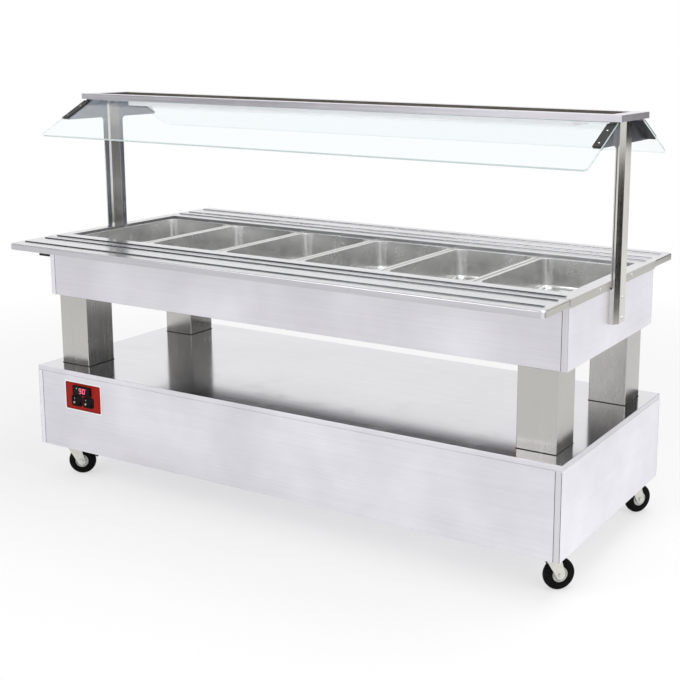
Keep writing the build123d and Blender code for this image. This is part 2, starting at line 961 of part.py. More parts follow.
def brake_pedal(corner):
    """Pedal that curves over the tyre from its pin to a slotted tread."""
    elevation = castor_elevation(corner)
    with BuildPart() as pedal:
        with BuildSketch(elevation):
            with Locations((castor_trail, wheel_radius)):
                Circle(pedal_inner + castor_sheet)
                Circle(pedal_inner, mode=Mode.SUBTRACT)
            with BuildLine():
                Polyline(
                    (castor_trail, wheel_radius),
                    (2 * pin_u - castor_trail, 2 * pin_z - wheel_radius),
                    (2 * bend_u - castor_trail, 2 * pin_z - wheel_radius),
                    (2 * bend_u - castor_trail, 2 * bend_z - wheel_radius),
                    (castor_trail, wheel_radius),
                )
            make_face(mode=Mode.INTERSECT)
            with Locations((pin_u, pin_z)):
                Circle(pedal_barrel)
                Circle(pedal_pin + pin_play, mode=Mode.SUBTRACT)
        extrude(amount=pedal_width / 2, both=True)
        tread_reach = (tread_length - castor_sheet) / 2
        tread_u = bend_u + tread_reach * cos(radians(tread_slope))
        tread_z = bend_z - tread_reach * sin(radians(tread_slope))
        with BuildSketch(elevation):
            with Locations(Location((tread_u, tread_z, 0), (0, 0, -tread_slope))):
                Rectangle(tread_length, castor_sheet)
        extrude(amount=tread_width / 2, both=True)
        slot_plane = Plane(
            origin=elevation.from_local_coords((tread_u, tread_z, 0)),
            x_dir=elevation.z_dir,
            z_dir=elevation.x_dir * sin(radians(tread_slope)) + Vector(0, 0, cos(radians(tread_slope))),
        )
        with BuildSketch(slot_plane):
            SlotOverall(tread_slot, tread_slot_width)
        extrude(amount=castor_sheet, both=True, mode=Mode.SUBTRACT)
    return pedal.part


for corner in castor_side:
    finish(castor_fork(corner), f"castor_{corner}_fork")
    finish(castor_hub(corner), f"castor_{corner}_hub")
    finish(castor_tyre(corner), f"castor_{corner}_tyre")
for corner in braked:
    finish(brake_pedal(corner), f"brake_pedal_{corner}")

# Posts

slope = radians(slope_angle)
tip_y = slope_start + flange_length * cos(slope)
tip_z = slope_top - flange_length * sin(slope)
arm_underside = tip_z - arm_tip
stem_bottom = counter_height - stem_drop
flange_middle = (top_x + post_x + flange_reach) / 2
flange_width = post_sheet + flange_reach
clamp_x = post_x + flange_reach - clamp_width / 2
clamp_screws = (clamp_start + clamp_screw_start, clamp_start + clamp_length - clamp_screw_end)
plate_bolt_z = roof_bottom - plate_bolt_drop
tab_bolt_x = top_x - tab_bolt_inset


def glass_plane(side, lift=0.0):
    """Plane on the arms' slope; its y axis points uphill, lift raises it."""
    normal = Vector(0, side * sin(slope), cos(slope))
    start = Vector(0, side * slope_start, slope_top)
    return Plane(origin=start + normal * lift, x_dir=(-side, 0, 0), z_dir=normal)


with BuildPart() as post_plates:
    with BuildSketch(Plane.YZ.offset(top_x)) as outline:
        with BuildLine():
            Polyline(
                (0, stem_bottom),
                (stem_width / 2, stem_bottom),
                (stem_width / 2, arm_underside),
                (tip_y, arm_underside),
                (tip_y, tip_z),
                (slope_start, slope_top),
                (slope_start, roof_bottom),
                (0, roof_bottom),
            )
            mirror(about=Plane.YZ)
        make_face()
        fillet(outline.vertices().group_by(Axis.Y)[0], stem_corner)
        inner_corners = outline.vertices().filter_by(
            lambda v: abs(abs(v.X) - stem_width / 2) < seam and abs(v.Y - arm_underside) < seam
        )
        fillet(inner_corners, arm_fillet)
        slot_y = stem_width / 2 - lug_slot_inset
        for step in range(3):
            with Locations(
                (-slot_y, counter_height + lug_slot_base + step * lug_slot_pitch),
                (slot_y, counter_height + lug_slot_base + step * lug_slot_pitch),
            ):
                SlotOverall(lug_slot_length, lug_slot_width, rotation=90, mode=Mode.SUBTRACT)
        with Locations((-plate_bolt_y, plate_bolt_z), (plate_bolt_y, plate_bolt_z)):
            Circle(screw_shank + hole_play, mode=Mode.SUBTRACT)
    extrude(amount=post_sheet)
    for side in (-1, 1):
        with BuildSketch(glass_plane(side)):
            with Locations((-side * flange_middle, -flange_length / 2)):
                Rectangle(flange_width, flange_length)
            with Locations(*[(-side * clamp_x, -distance) for distance in clamp_screws]):
                Circle(screw_shank + hole_play, mode=Mode.SUBTRACT)
        extrude(amount=-post_sheet)
        with BuildSketch(Plane.XZ.offset(-side * tab_width / 2)):
            with BuildLine():
                Polyline(
                    (top_x, roof_bottom),
                    (top_x - gusset_size, roof_bottom),
                    (top_x, roof_bottom - gusset_size),
                    close=True,
                )
            make_face()
        extrude(amount=side * post_sheet)
    with BuildSketch(Plane.XY.offset(roof_bottom)):
        with Locations((post_x - tab_reach / 2, 0)):
            Rectangle(tab_reach, tab_width)
        with Locations((tab_bolt_x, -tab_bolt_y), (tab_bolt_x, tab_bolt_y)):
            Circle(screw_shank + hole_play, mode=Mode.SUBTRACT)
    extrude(amount=-post_sheet)
    mirror(about=Plane.YZ)
finish(post_plates.part, "post_plates")

channel_back = post_x + seat_gap
channel_shoulder = channel_back + channel_side
channel_front = channel_shoulder + channel_bevel
lip_bottom = counter_height - end_lip

with BuildPart() as post_outer_channels:
    for back, start, end in (
        (well_x + seat_gap, channel_bottom, lip_bottom - seat_gap),
        (channel_back, lip_bottom - seat_gap, roof_bottom),
    ):
        section = folded_section(
            Plane.XY.offset(start),
            [
                (back, -channel_width / 2),
                (channel_shoulder, -channel_width / 2),
                (channel_front, -channel_face / 2),
                (channel_front, channel_face / 2),
                (channel_shoulder, channel_width / 2),
                (back, channel_width / 2),
            ],
            channel_sheet,
        )
        extrude(section, amount=end - start)
    with BuildSketch(Plane.YZ.offset(channel_front)):
        with Locations(*[(0, height) for height in channel_screw_heights]):
            Circle(screw_shank + hole_play)
    extrude(amount=-2 * channel_sheet, mode=Mode.SUBTRACT)
    mirror(about=Plane.YZ)
finish(post_outer_channels.part, "post_outer_channels")

inner_section = folded_section(
    Plane.XY.offset(counter_height),
    [
        (top_x, inner_channel_width / 2),
        (top_x - inner_channel_depth, inner_channel_face / 2),
        (top_x - inner_channel_depth, -inner_channel_face / 2),
        (top_x, -inner_channel_width / 2),
    ],
    inner_channel_sheet,
)

with BuildPart() as post_inner_channels:
    extrude(inner_section, amount=roof_bottom - inner_channel_top_gap - counter_height)
    split(bisect_by=Plane.YZ.offset(top_x), keep=Keep.BOTTOM)
    mirror(about=Plane.YZ)
finish(post_inner_channels.part, "post_inner_channels")

# Glass and its clamps

glass_x = post_x + flange_reach


def glass_pane(side):
    """Sloping pane on the arms of both posts."""
    with BuildPart() as pane:
        with BuildSketch(glass_plane(side, seat_gap)) as outline:
            with Locations((0, -(glass_start + glass_length / 2))):
                Rectangle(2 * glass_x, glass_length)
            fillet(outline.vertices().group_by(Axis.Y)[0], glass_corner)
            for end in (-1, 1):
                with Locations(*[(end * clamp_x, -distance) for distance in clamp_screws]):
                    Circle(screw_shank + 2 * hole_play, mode=Mode.SUBTRACT)
        extrude(amount=glass_thickness)
    return pane.part


finish(glass_pane(-1), "glass_front")
finish(glass_pane(1), "glass_rear")

clamp_lift = 2 * seat_gap + glass_thickness

with BuildPart() as glass_clamps:
    for side in (-1, 1):
        with BuildSketch(glass_plane(side, clamp_lift)):
            for end in (-1, 1):
                with Locations((end * clamp_x, -(clamp_start + clamp_length / 2))):
                    Rectangle(clamp_width, clamp_length)
                with Locations(*[(end * clamp_x, -distance) for distance in clamp_screws]):
                    Circle(screw_shank + hole_play, mode=Mode.SUBTRACT)
        extrude(amount=clamp_thickness)
finish(glass_clamps.part, "glass_clamps")

# Roof and its lamp

recess_length = roof_length - 2 * roof_margin
recess_width = roof_width - 2 * roof_margin

with BuildPart() as roof:
    with BuildSketch(Plane.XY.offset(roof_bottom)):
        Rectangle(roof_length, roof_width)
    extrude(amount=roof_height)
    offset(amount=-panel_sheet, openings=roof.faces().sort_by(Axis.Z)[0])
    with BuildSketch(Plane.XY.offset(roof_bottom)):
        Rectangle(recess_length + 2 * panel_sheet, recess_width + 2 * panel_sheet)
    extrude(amount=roof_height)
    with BuildSketch(Plane.XY.offset(roof_bottom + panel_sheet)):
        Rectangle(recess_length, recess_width)
    extrude(amount=roof_height, mode=Mode.SUBTRACT)
    with BuildSketch(Plane.XY.offset(roof_bottom)):
        for end in (-1, 1):
            with Locations((end * tab_bolt_x, -tab_bolt_y), (end * tab_bolt_x, tab_bolt_y)):
                Circle(screw_shank + hole_play)
    extrude(amount=panel_sheet, mode=Mode.SUBTRACT)
finish(roof.part, "roof")

lamp_length = 2 * (top_x - lamp_inset)

with BuildPart() as lamp_housing:
    with BuildSketch(Plane.XY.offset(roof_bottom - lamp_height)):
        RectangleRounded(lamp_length, lamp_width, lamp_height / 2)
    extrude(amount=lamp_height)
    offset(amount=-panel_sheet, openings=lamp_housing.faces().sort_by(Axis.Z)[0])
finish(lamp_housing.part, "lamp_housing")

diffuser_margin = panel_sheet + seat_gap

with BuildPart() as lamp_diffuser:
    with BuildSketch(Plane.XY.offset(roof_bottom - lamp_height)):
        RectangleRounded(
            lamp_length - 2 * diffuser_margin,
            lamp_width - 2 * diffuser_margin,
            lamp_height / 2 - diffuser_margin,
        )
    extrude(amount=diffuser_thickness)
finish(lamp_diffuser.part, "lamp_diffuser")

# Control panel

plate_face = base_y + plate_thickness

with BuildPart() as control_plate:
    with BuildSketch(Plane.XZ.offset(base_y)):
        with Locations((plate_x, plate_z)):
            RectangleRounded(plate_length, plate_height, plate_corner)
        with Locations((display_x, display_z)):
            Rectangle(meter_cut_length, meter_height + 2 * seat_gap, mode=Mode.SUBTRACT)
        for centre in switch_x:
            with Locations((centre, switch_z)):
                Rectangle(tub_length + 2 * seat_gap, tub_height + 2 * seat_gap, mode=Mode.SUBTRACT)
    extrude(amount=plate_thickness)
finish(control_plate.part, "control_plate")

button_heights = {"up": display_z + button_z, "down": display_z - button_z}
display_front = plate_face + display_depth

with BuildPart() as thermostat:
    with BuildSketch(Plane.XZ.offset(plate_face)):
        with Locations((display_x, display_z)):
            RectangleRounded(display_length, display_height, display_corner)
    extrude(amount=display_depth)
    with BuildSketch(Plane.XZ.offset(plate_face)):
        with Locations((display_x, display_z)):
            Rectangle(meter_length, meter_height)
    extrude(amount=-meter_depth)
    with BuildSketch(Plane.XZ.offset(display_front)):
        with Locations((display_x - (display_length - window_length) / 4, display_z)):
            Rectangle(window_length, window_height)
    extrude(amount=-window_depth, mode=Mode.SUBTRACT)
    with BuildSketch(Plane.XZ.offset(display_front)):
        with Locations(*[(display_x + button_x, height) for height in button_heights.values()]):
            Rectangle(button_length + 2 * seat_gap, button_height + 2 * seat_gap)
    extrude(amount=-(button_depth + button_travel), mode=Mode.SUBTRACT)
finish(thermostat.part, "thermostat")

for name, height in button_heights.items():
    with BuildPart() as button:
        with BuildSketch(Plane.XZ.offset(display_front - button_depth + seat_gap)):
            with Locations((display_x + button_x, height)):
                Rectangle(button_length, button_height)
        extrude(amount=button_depth - seat_gap + button_proud)
    finish(button.part, f"thermostat_{name}_button")

bezel_front = plate_face + bezel_thickness
rocker_axis_y = bezel_front - rocker_inset

with BuildPart() as switch_bezels:
    for centre in switch_x:
        with BuildSketch(Plane.XZ.offset(plate_face)):
            with Locations((centre, switch_z)):
                RectangleRounded(bezel_length, bezel_height, bezel_corner)
        extrude(amount=bezel_thickness)
        with BuildSketch(Plane.XZ.offset(plate_face)):
            with Locations((centre, switch_z)):
                Rectangle(tub_length, tub_height)
        extrude(amount=-tub_depth)
        with BuildSketch(Plane.XZ.offset(bezel_front)):
            with Locations((centre, switch_z)):
                Rectangle(rocker_length + 2 * seat_gap, tub_height - 2 * plastic_wall)
        extrude(amount=-(bezel_thickness + tub_depth - plastic_wall), mode=Mode.SUBTRACT)
        with BuildSketch(Plane.YZ.offset(centre - tub_length / 2)):
            with Locations((-rocker_axis_y, switch_z)):
                Circle(rocker_pin + pin_play)
        extrude(amount=tub_length, mode=Mode.SUBTRACT)
finish(switch_bezels.part, "switch_bezels")


def rocker(centre):
    """Switch rocker with a hollowed face, resting with its upper half pressed."""
    tilt = radians(rocker_tilt)
    side_plane = Plane(
        origin=(centre, -rocker_axis_y, switch_z),
        x_dir=(0, -cos(tilt), sin(tilt)),
        z_dir=(1, 0, 0),
    )
    with BuildPart() as body:
        with BuildSketch(side_plane):
            Circle(rocker_radius)
            with BuildLine():
                Polyline(
                    (-rocker_depth, -rocker_radius),
                    (rocker_rise, -rocker_radius),
                    (rocker_rise - rocker_valley, 0),
                    (rocker_rise, rocker_radius),
                    (-rocker_depth, rocker_radius),
                    (-rocker_depth, -rocker_radius),
                )
            make_face(mode=Mode.INTERSECT)
        extrude(amount=rocker_length / 2, both=True)
        with BuildSketch(side_plane):
            Circle(rocker_pin)
        extrude(amount=rocker_length / 2 + seat_gap + rocker_pin_length, both=True)
    return body.part


finish(rocker(switch_x[0]), "heat_rocker")
finish(rocker(switch_x[1]), "light_rocker")

with BuildPart() as control_box:
    with BuildSketch(Plane.XZ.offset(base_y - panel_sheet)):
        with Locations((plate_x, plate_z)):
            Rectangle(control_box_length, control_box_height)
    extrude(amount=-control_box_depth)
    offset(amount=-panel_sheet, openings=control_box.faces().sort_by(Axis.Y)[0])
finish(control_box.part, "control_box")

with BuildPart() as cable_gland:
    with BuildSketch(Plane.XZ.offset(-base_y)):
        with Locations((gland_x, gland_z)):
            RegularPolygon(gland_nut, 6)
    extrude(amount=-gland_nut_height)
    with BuildSketch(Plane.XZ.offset(-(base_y + gland_nut_height))):
        with Locations((gland_x, gland_z)):
            Circle(gland_collar)
    extrude(amount=-gland_dome, taper=gland_taper)
    with BuildSketch(Plane.XZ.offset(-base_y)):
        with Locations((gland_x, gland_z)):
            Circle(gland_radius)
    extrude(amount=gland_nut_height + panel_sheet)
    with BuildSketch(Plane.XZ.offset(-(base_y - panel_sheet))):
        with Locations((gland_x, gland_z)):
            RegularPolygon(gland_nut, 6)
    extrude(amount=gland_nut_height)
    with BuildSketch(Plane.XZ.offset(-(base_y + gland_nut_height + gland_dome))):
        with Locations((gland_x, gland_z)):
            Circle(gland_bore)
    extrude(amount=2 * (gland_nut_height + gland_dome), mode=Mode.SUBTRACT)
finish(cable_gland.part, "cable_gland")

# Screws and bolts

clamp_screw_points = [(end * clamp_x, -distance) for end in (-1, 1) for distance in clamp_screws]
tab_bolt_points = [(end * tab_bolt_x, side * tab_bolt_y) for end in (-1, 1) for side in (-1, 1)]

with BuildPart() as screws:
    for side in (-1, 1):
        clamp_face = glass_plane(side, clamp_lift + clamp_thickness)
        with BuildSketch(clamp_face):
            with Locations(*clamp_screw_points):
                Circle(screw_head)
        extrude(amount=screw_head_height)
        with BuildSketch(clamp_face):
            with Locations(*clamp_screw_points):
                Circle(screw_shank)
        extrude(amount=-(clamp_lift + clamp_thickness + post_sheet))
    for end in (-1, 1):
        for face_x, points, shank in (
            (
                channel_front,
                [(0, height) for height in channel_screw_heights],
                channel_front - well_x + panel_sheet,
            ),
            (
                top_x,
                [(-lip_screw_y, lip_screw_z), (lip_screw_y, lip_screw_z)],
                top_overhang_x + panel_sheet,
            ),
        ):
            with BuildSketch(end_plane(end, face_x)):
                with Locations(*points):
                    Circle(screw_head)
            extrude(amount=screw_head_height)
            with BuildSketch(end_plane(end, face_x)):
                with Locations(*points):
                    Circle(screw_shank)
            extrude(amount=-shank)
        with BuildSketch(end_plane(end, top_x)):
            with Locations((-plate_bolt_y, plate_bolt_z), (plate_bolt_y, plate_bolt_z)):
                RegularPolygon(bolt_head, 6)
        extrude(amount=-bolt_head_height)
        with BuildSketch(end_plane(end, top_x)):
            with Locations((-plate_bolt_y, plate_bolt_z), (plate_bolt_y, plate_bolt_z)):
                Circle(screw_shank)
        extrude(amount=post_sheet)
    with BuildSketch(Plane.XY.offset(roof_bottom - post_sheet)):
        with Locations(*tab_bolt_points):
            RegularPolygon(bolt_head, 6)
    extrude(amount=-bolt_head_height)
    with BuildSketch(Plane.XY.offset(roof_bottom - post_sheet)):
        with Locations(*tab_bolt_points):
            Circle(screw_shank)
    extrude(amount=post_sheet + panel_sheet)
finish(screws.part, "screws")
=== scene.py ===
"""Heated buffet counter: folds, finishes, screws, marks and a plain studio around the solids."""

import json
import logging
import math
from collections.abc import Callable
from dataclasses import dataclass
from enum import Enum
from itertools import product

import bmesh
import bpy
from mathutils import Matrix, Vector

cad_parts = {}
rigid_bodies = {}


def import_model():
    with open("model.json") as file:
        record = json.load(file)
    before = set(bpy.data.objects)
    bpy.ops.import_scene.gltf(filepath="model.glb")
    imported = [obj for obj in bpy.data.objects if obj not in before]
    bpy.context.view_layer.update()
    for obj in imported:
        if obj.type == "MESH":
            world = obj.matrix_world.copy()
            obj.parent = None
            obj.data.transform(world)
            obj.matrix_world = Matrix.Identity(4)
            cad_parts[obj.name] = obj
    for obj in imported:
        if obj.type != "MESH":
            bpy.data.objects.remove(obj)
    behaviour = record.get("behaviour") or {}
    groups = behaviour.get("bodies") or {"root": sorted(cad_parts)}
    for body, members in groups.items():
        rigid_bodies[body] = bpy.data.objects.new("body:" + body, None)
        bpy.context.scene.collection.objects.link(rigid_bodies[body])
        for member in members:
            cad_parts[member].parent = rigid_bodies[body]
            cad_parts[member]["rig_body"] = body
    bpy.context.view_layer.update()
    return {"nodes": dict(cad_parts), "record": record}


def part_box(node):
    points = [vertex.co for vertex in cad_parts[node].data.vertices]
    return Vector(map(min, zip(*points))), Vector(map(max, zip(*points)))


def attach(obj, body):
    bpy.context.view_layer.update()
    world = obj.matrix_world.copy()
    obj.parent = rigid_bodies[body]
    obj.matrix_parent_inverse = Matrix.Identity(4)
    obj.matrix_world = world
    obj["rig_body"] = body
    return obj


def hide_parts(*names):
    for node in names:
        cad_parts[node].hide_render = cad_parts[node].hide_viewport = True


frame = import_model()

log = logging.getLogger("buffet_counter")

MM = 0.001
MERGE_DISTANCE = 2e-6
FLAT_ANGLE = math.radians(0.4)
CREASE_ANGLE = math.radians(24)
FACE_WEIGHT = 75
EDGE_SHARE = 0.3
SMALLEST_RADIUS = 0.00012
SECTION_DEPTH = 1e-7

Colour = tuple[float, float, float]


class Grain(Enum):
    """Direction of the brush lines on a sheet, as a stretch of the noise on each axis."""

    ALONG_X = (0.35, 44.0, 44.0)
    ALONG_Y = (44.0, 0.35, 44.0)
    ALONG_Z = (44.0, 44.0, 0.35)


class Value:
    """A socket of a shader, on which arithmetic adds Math nodes."""

    def __init__(self, shader: "Shader", socket: bpy.types.NodeSocket) -> None:
        """Keep the socket with the shader that owns it."""
        self.shader = shader
        self.socket = socket

    def math(self, operation: str, *others: "Value | float") -> "Value":
        """Feed this value and the others to a Math node.

        Args:
            operation: The Math node's operation.
            *others: Further inputs, in the node's order.

        Returns:
            The node's result.
        """
        inputs = dict(enumerate((self, *others)))
        return self.shader.node("ShaderNodeMath", {"operation": operation}, inputs)

    def __add__(self, other: "Value | float") -> "Value":
        """Sum."""
        return self.math("ADD", other)

    __radd__ = __add__

    def __mul__(self, other: "Value | float") -> "Value":
        """Product."""
        return self.math("MULTIPLY", other)

    __rmul__ = __mul__

    def __sub__(self, other: "Value | float") -> "Value":
        """Difference."""
        return self.math("SUBTRACT", other)

    def __rsub__(self, other: float) -> "Value":
        """Difference from a plain number."""
        return (self * -1.0).math("ADD", other)

    def __abs__(self) -> "Value":
        """Size without sign."""
        return self.math("ABSOLUTE")

    def at_least(self, other: "Value | float") -> "Value":
        """The larger of the two."""
        return self.math("MAXIMUM", other)

    def at_most(self, other: "Value | float") -> "Value":
        """The smaller of the two."""
        return self.math("MINIMUM", other)

    def clamped(self) -> "Value":
        """This value kept between 0 and 1."""
        return self.at_least(0.0).at_most(1.0)

    def swing(self, amount: float) -> "Value":
        """Turn noise about a half into a swing about 0, this wide."""
        return (self - 0.5) * amount

    def ramp(self, start: float, end: float) -> "Value":
        """Rise smoothly from 0 at start to 1 at end."""
        settings = {"interpolation_type": "SMOOTHSTEP"}
        inputs = {"Value": self, "From Min": start, "From Max": end}
        return self.shader.node("ShaderNodeMapRange", settings, inputs)


class Shader:
    """The node tree of one material or of the world."""

    def __init__(self, owner: bpy.types.Material | bpy.types.World) -> None:
        """Empty the owner's node tree."""
        owner.use_nodes = True
        self.tree = owner.node_tree
        self.tree.nodes.clear()

    def node(
        self,
        kind: str,
        settings: dict[str, object] | None = None,
        inputs: dict[str | int, object] | None = None,
        output: int | str = 0,
    ) -> Value:
        """Add a node.

        Args:
            kind: The node's type.
            settings: Its own settings, set before its sockets.
            inputs: Values or links of its sockets.
            output: The socket to return.

        Returns:
            The chosen output.
        """
        made = self.tree.nodes.new(kind)
        for key, value in (settings or {}).items():
            setattr(made, key, value)
        for key, value in (inputs or {}).items():
            if isinstance(value, Value):
                self.tree.links.new(value.socket, made.inputs[key])
            elif isinstance(value, tuple) and made.inputs[key].type == "RGBA":
                made.inputs[key].default_value = (*value, 1.0)
            else:
                made.inputs[key].default_value = value
        return Value(self, made.outputs[output] if made.outputs else None)

    def place(self, scale: tuple[float, float, float] = (1.0, 1.0, 1.0)) -> Value:
        """Point on the piece in metres, stretched by the scale."""
        point = self.node("ShaderNodeTexCoord", output="Object")
        return self.node("ShaderNodeMapping", {"vector_type": "POINT"}, {"Vector": point, "Scale": scale})

    def noise(self, point: Value, scale: float, detail: float = 2.0, roughness: float = 0.5) -> Value:
        """Noise from 0 to 1 with most values near a half."""
        inputs = {"Vector": point, "Scale": scale, "Detail": detail, "Roughness": roughness}
        return self.node("ShaderNodeTexNoise", None, inputs)

    def cells(self, point: Value, scale: float) -> Value:
        """A flat random value for each cell of a broken pattern."""
        colour = self.node("ShaderNodeTexVoronoi", None, {"Vector": point, "Scale": scale}, "Color")
        return self.node("ShaderNodeSeparateXYZ", None, {0: colour}, "X")

    def blend(self, low: "Value | Colour", high: "Value | Colour", mask: "Value | float") -> Value:
        """Colour from low at mask 0 to high at mask 1."""
        return self.node("ShaderNodeMix", {"data_type": "RGBA"}, {0: mask, 6: low, 7: high}, 2)

    def bump(self, height: Value, strength: float, distance: float) -> Value:
        """Normal that follows the height."""
        inputs = {"Strength": strength, "Distance": distance, "Height": height}
        return self.node("ShaderNodeBump", None, inputs)

    def seen(self) -> Value:
        """1 on camera, mirror and glass rays, and 0 on rays that light the object."""
        rays = [
            self.node("ShaderNodeLightPath", output=name)
            for name in ("Is Camera Ray", "Is Glossy Ray", "Is Transmission Ray")
        ]
        return rays[0].at_least(rays[1]).at_least(rays[2])

    def principled(self, inputs: dict[str | int, object]) -> Value:
        """Principled surface with the given sockets."""
        return self.node("ShaderNodeBsdfPrincipled", None, inputs)

    def mix(self, mask: Value, first: Value, second: Value) -> Value:
        """Surface from the first at mask 0 to the second at mask 1."""
        return self.node("ShaderNodeMixShader", None, {0: mask, 1: first, 2: second})

    def output(self, surface: Value) -> None:
        """Send the surface to the material's output."""
        self.node("ShaderNodeOutputMaterial", None, {"Surface": surface})


class Finish:
    """A finish that writes itself as a material."""

    def paint(self, shader: Shader) -> Value:
        """Write the finish's nodes and return its surface."""
        raise NotImplementedError

    def material(self, name: str) -> bpy.types.Material:
        """Make the material.

        Args:
            name: The material's name.

        Returns:
            The new material.
        """
        made = bpy.data.materials.new(name)
        shader = Shader(made)
        shader.output(self.paint(shader))
        return made


@dataclass(frozen=True)
class BrushedSteel(Finish):
    """Stainless sheet with brush lines, faint clouding and handling smudges."""

    light: Colour
    dark: Colour
    grain: Grain
    roughness: float = 0.34
    line_contrast: float = 1.65
    cloud_contrast: float = 0.7
    line_gloss: float = 0.22
    smudge_gloss: float = 0.05
    line_depth: float = 0.00004

    def paint(self, shader: Shader) -> Value:
        """Write brush lines at two widths, clouds and smudges."""
        along = shader.place(self.grain.value)
        fine = shader.noise(along, scale=32.0, detail=3.0, roughness=0.62)
        broad = shader.noise(along, scale=4.5, detail=2.0, roughness=0.55)
        cloud = shader.noise(shader.place(), scale=2.6, detail=3.0, roughness=0.55)
        smudge = shader.noise(shader.place(), scale=9.0, detail=4.0, roughness=0.6)
        lines = fine * 0.55 + broad * 0.45
        tone = lines.swing(self.line_contrast) + cloud.swing(self.cloud_contrast) + 0.5
        film = smudge.ramp(0.5, 0.75) * self.smudge_gloss
        return shader.principled(
            {
                "Base Color": shader.blend(self.dark, self.light, tone.clamped()),
                "Roughness": lines.swing(self.line_gloss) + film + self.roughness,
                "Metallic": 1.0,
                "Normal": shader.bump(lines, strength=0.35, distance=self.line_depth),
            }
        )


@dataclass(frozen=True)
class DrawnSteel(Finish):
    """Deep-drawn stainless, satin with soft forming marks."""

    light: Colour
    dark: Colour
    roughness: float = 0.28
    scouring: tuple[float, float, float] = (8.0, 8.0, 90.0)
    line_depth: float = 0.00004

    def paint(self, shader: Shader) -> Value:
        """Write soft marks and fine scouring lines."""
        marks = shader.noise(shader.place(), scale=14.0, detail=3.0, roughness=0.5)
        lines = shader.noise(shader.place(self.scouring), scale=12.0, detail=3.0, roughness=0.6)
        tone = marks.swing(0.8) + lines.swing(0.7) + 0.5
        return shader.principled(
            {
                "Base Color": shader.blend(self.dark, self.light, tone.clamped()),
                "Roughness": marks.swing(0.16) + lines.swing(0.1) + self.roughness,
                "Metallic": 1.0,
                "Normal": shader.bump(lines, strength=0.3, distance=self.line_depth),
            }
        )


@dataclass(frozen=True)
class ZincPlate(Finish):
    """Bright zinc plating with its faint crystal patches."""

    light: Colour
    dark: Colour
    roughness: float = 0.36
    film_depth: float = 0.00005

    def paint(self, shader: Shader) -> Value:
        """Write patches and a thin dull film."""
        patch = shader.cells(shader.place(), scale=210.0)
        film = shader.noise(shader.place(), scale=38.0, detail=4.0, roughness=0.6)
        tone = patch.swing(0.35) + film.swing(0.9) + 0.5
        return shader.principled(
            {
                "Base Color": shader.blend(self.dark, self.light, tone.clamped()),
                "Roughness": film.swing(0.25) + self.roughness,
                "Metallic": 0.75,
                "Normal": shader.bump(film, strength=0.25, distance=self.film_depth),
            }
        )


@dataclass(frozen=True)
class Coated(Finish):
    """Paint, lacquer or moulded plastic with a fine texture and light dust."""

    light: Colour
    dark: Colour
    roughness: float
    texture_scale: float = 900.0
    texture_depth: float = 0.00003
    coat: float = 0.0
    specular: float = 0.5

    def paint(self, shader: Shader) -> Value:
        """Write the grain of the coat and its uneven gloss."""
        texture = shader.noise(shader.place(), self.texture_scale, detail=2.0, roughness=0.5)
        dust = shader.noise(shader.place(), scale=24.0, detail=4.0, roughness=0.6)
        tone = dust.swing(1.4) + texture.swing(0.5) + 0.45
        return shader.principled(
            {
                "Base Color": shader.blend(self.dark, self.light, tone.clamped()),
                "Roughness": dust.swing(0.18) + self.roughness,
                "Specular IOR Level": self.specular,
                "Coat Weight": self.coat,
                "Normal": shader.bump(texture, strength=0.3, distance=self.texture_depth),
            }
        )


@dataclass(frozen=True)
class Rubber(Finish):
    """Black rubber with dust in its pores."""

    base: Colour = (0.004, 0.004, 0.004)
    dusty: Colour = (0.018, 0.0175, 0.017)
    roughness: float = 0.62
    pore_depth: float = 0.00006

    def paint(self, shader: Shader) -> Value:
        """Write pores and dust."""
        pores = shader.noise(shader.place(), scale=700.0, detail=2.0, roughness=0.6)
        dust = shader.noise(shader.place(), scale=55.0, detail=5.0, roughness=0.65).ramp(0.5, 0.8)
        return shader.principled(
            {
                "Base Color": shader.blend(self.base, self.dusty, dust),
                "Roughness": pores.swing(0.2) + self.roughness,
                "Specular IOR Level": 0.06,
                "Normal": shader.bump(pores, strength=0.4, distance=self.pore_depth),
            }
        )


@dataclass(frozen=True)
class BorderedPlate(Finish):
    """Red plate inside a pale border with rounded corners."""

    centre: tuple[float, float]
    half_size: tuple[float, float]
    corner: float
    red: Colour = (0.40, 0.012, 0.004)
    deep_red: Colour = (0.27, 0.005, 0.002)
    border: Colour = (0.97, 1.0, 1.0)
    roughness: float = 0.34
    shaded_rim: float = 0.012
    print_edge: float = 0.0003
    grain_depth: float = 0.00003

    def paint(self, shader: Shader) -> Value:
        """Measure how far a point lies outside the red field, and colour by it."""
        point = shader.node("ShaderNodeTexCoord", output="Object")
        across = shader.node("ShaderNodeSeparateXYZ", None, {0: point}, "X")
        up = shader.node("ShaderNodeSeparateXYZ", None, {0: point}, "Z")
        past_side = abs(across - self.centre[0]) - (self.half_size[0] - self.corner)
        past_top = abs(up - self.centre[1]) - (self.half_size[1] - self.corner)
        corner_x = past_side.at_least(0.0)
        corner_z = past_top.at_least(0.0)
        outside = (corner_x * corner_x + corner_z * corner_z).math("SQRT")
        outside = outside + past_side.at_least(past_top).at_most(0.0) - self.corner
        grain = shader.noise(shader.place(), scale=60.0, detail=3.0, roughness=0.5)
        middle = (outside * -1.0).ramp(0.0, self.shaded_rim)
        tone = (middle * 0.7 + grain.swing(0.6) + 0.2).at_most(1.0)
        red = shader.blend(self.deep_red, self.red, tone)
        colour = shader.blend(red, self.border, outside.ramp(-self.print_edge, self.print_edge))
        return shader.principled(
            {
                "Base Color": colour,
                "Roughness": grain.swing(0.14) + self.roughness,
                "Specular IOR Level": 0.12,
                "Normal": shader.bump(grain, strength=0.15, distance=self.grain_depth),
            }
        )


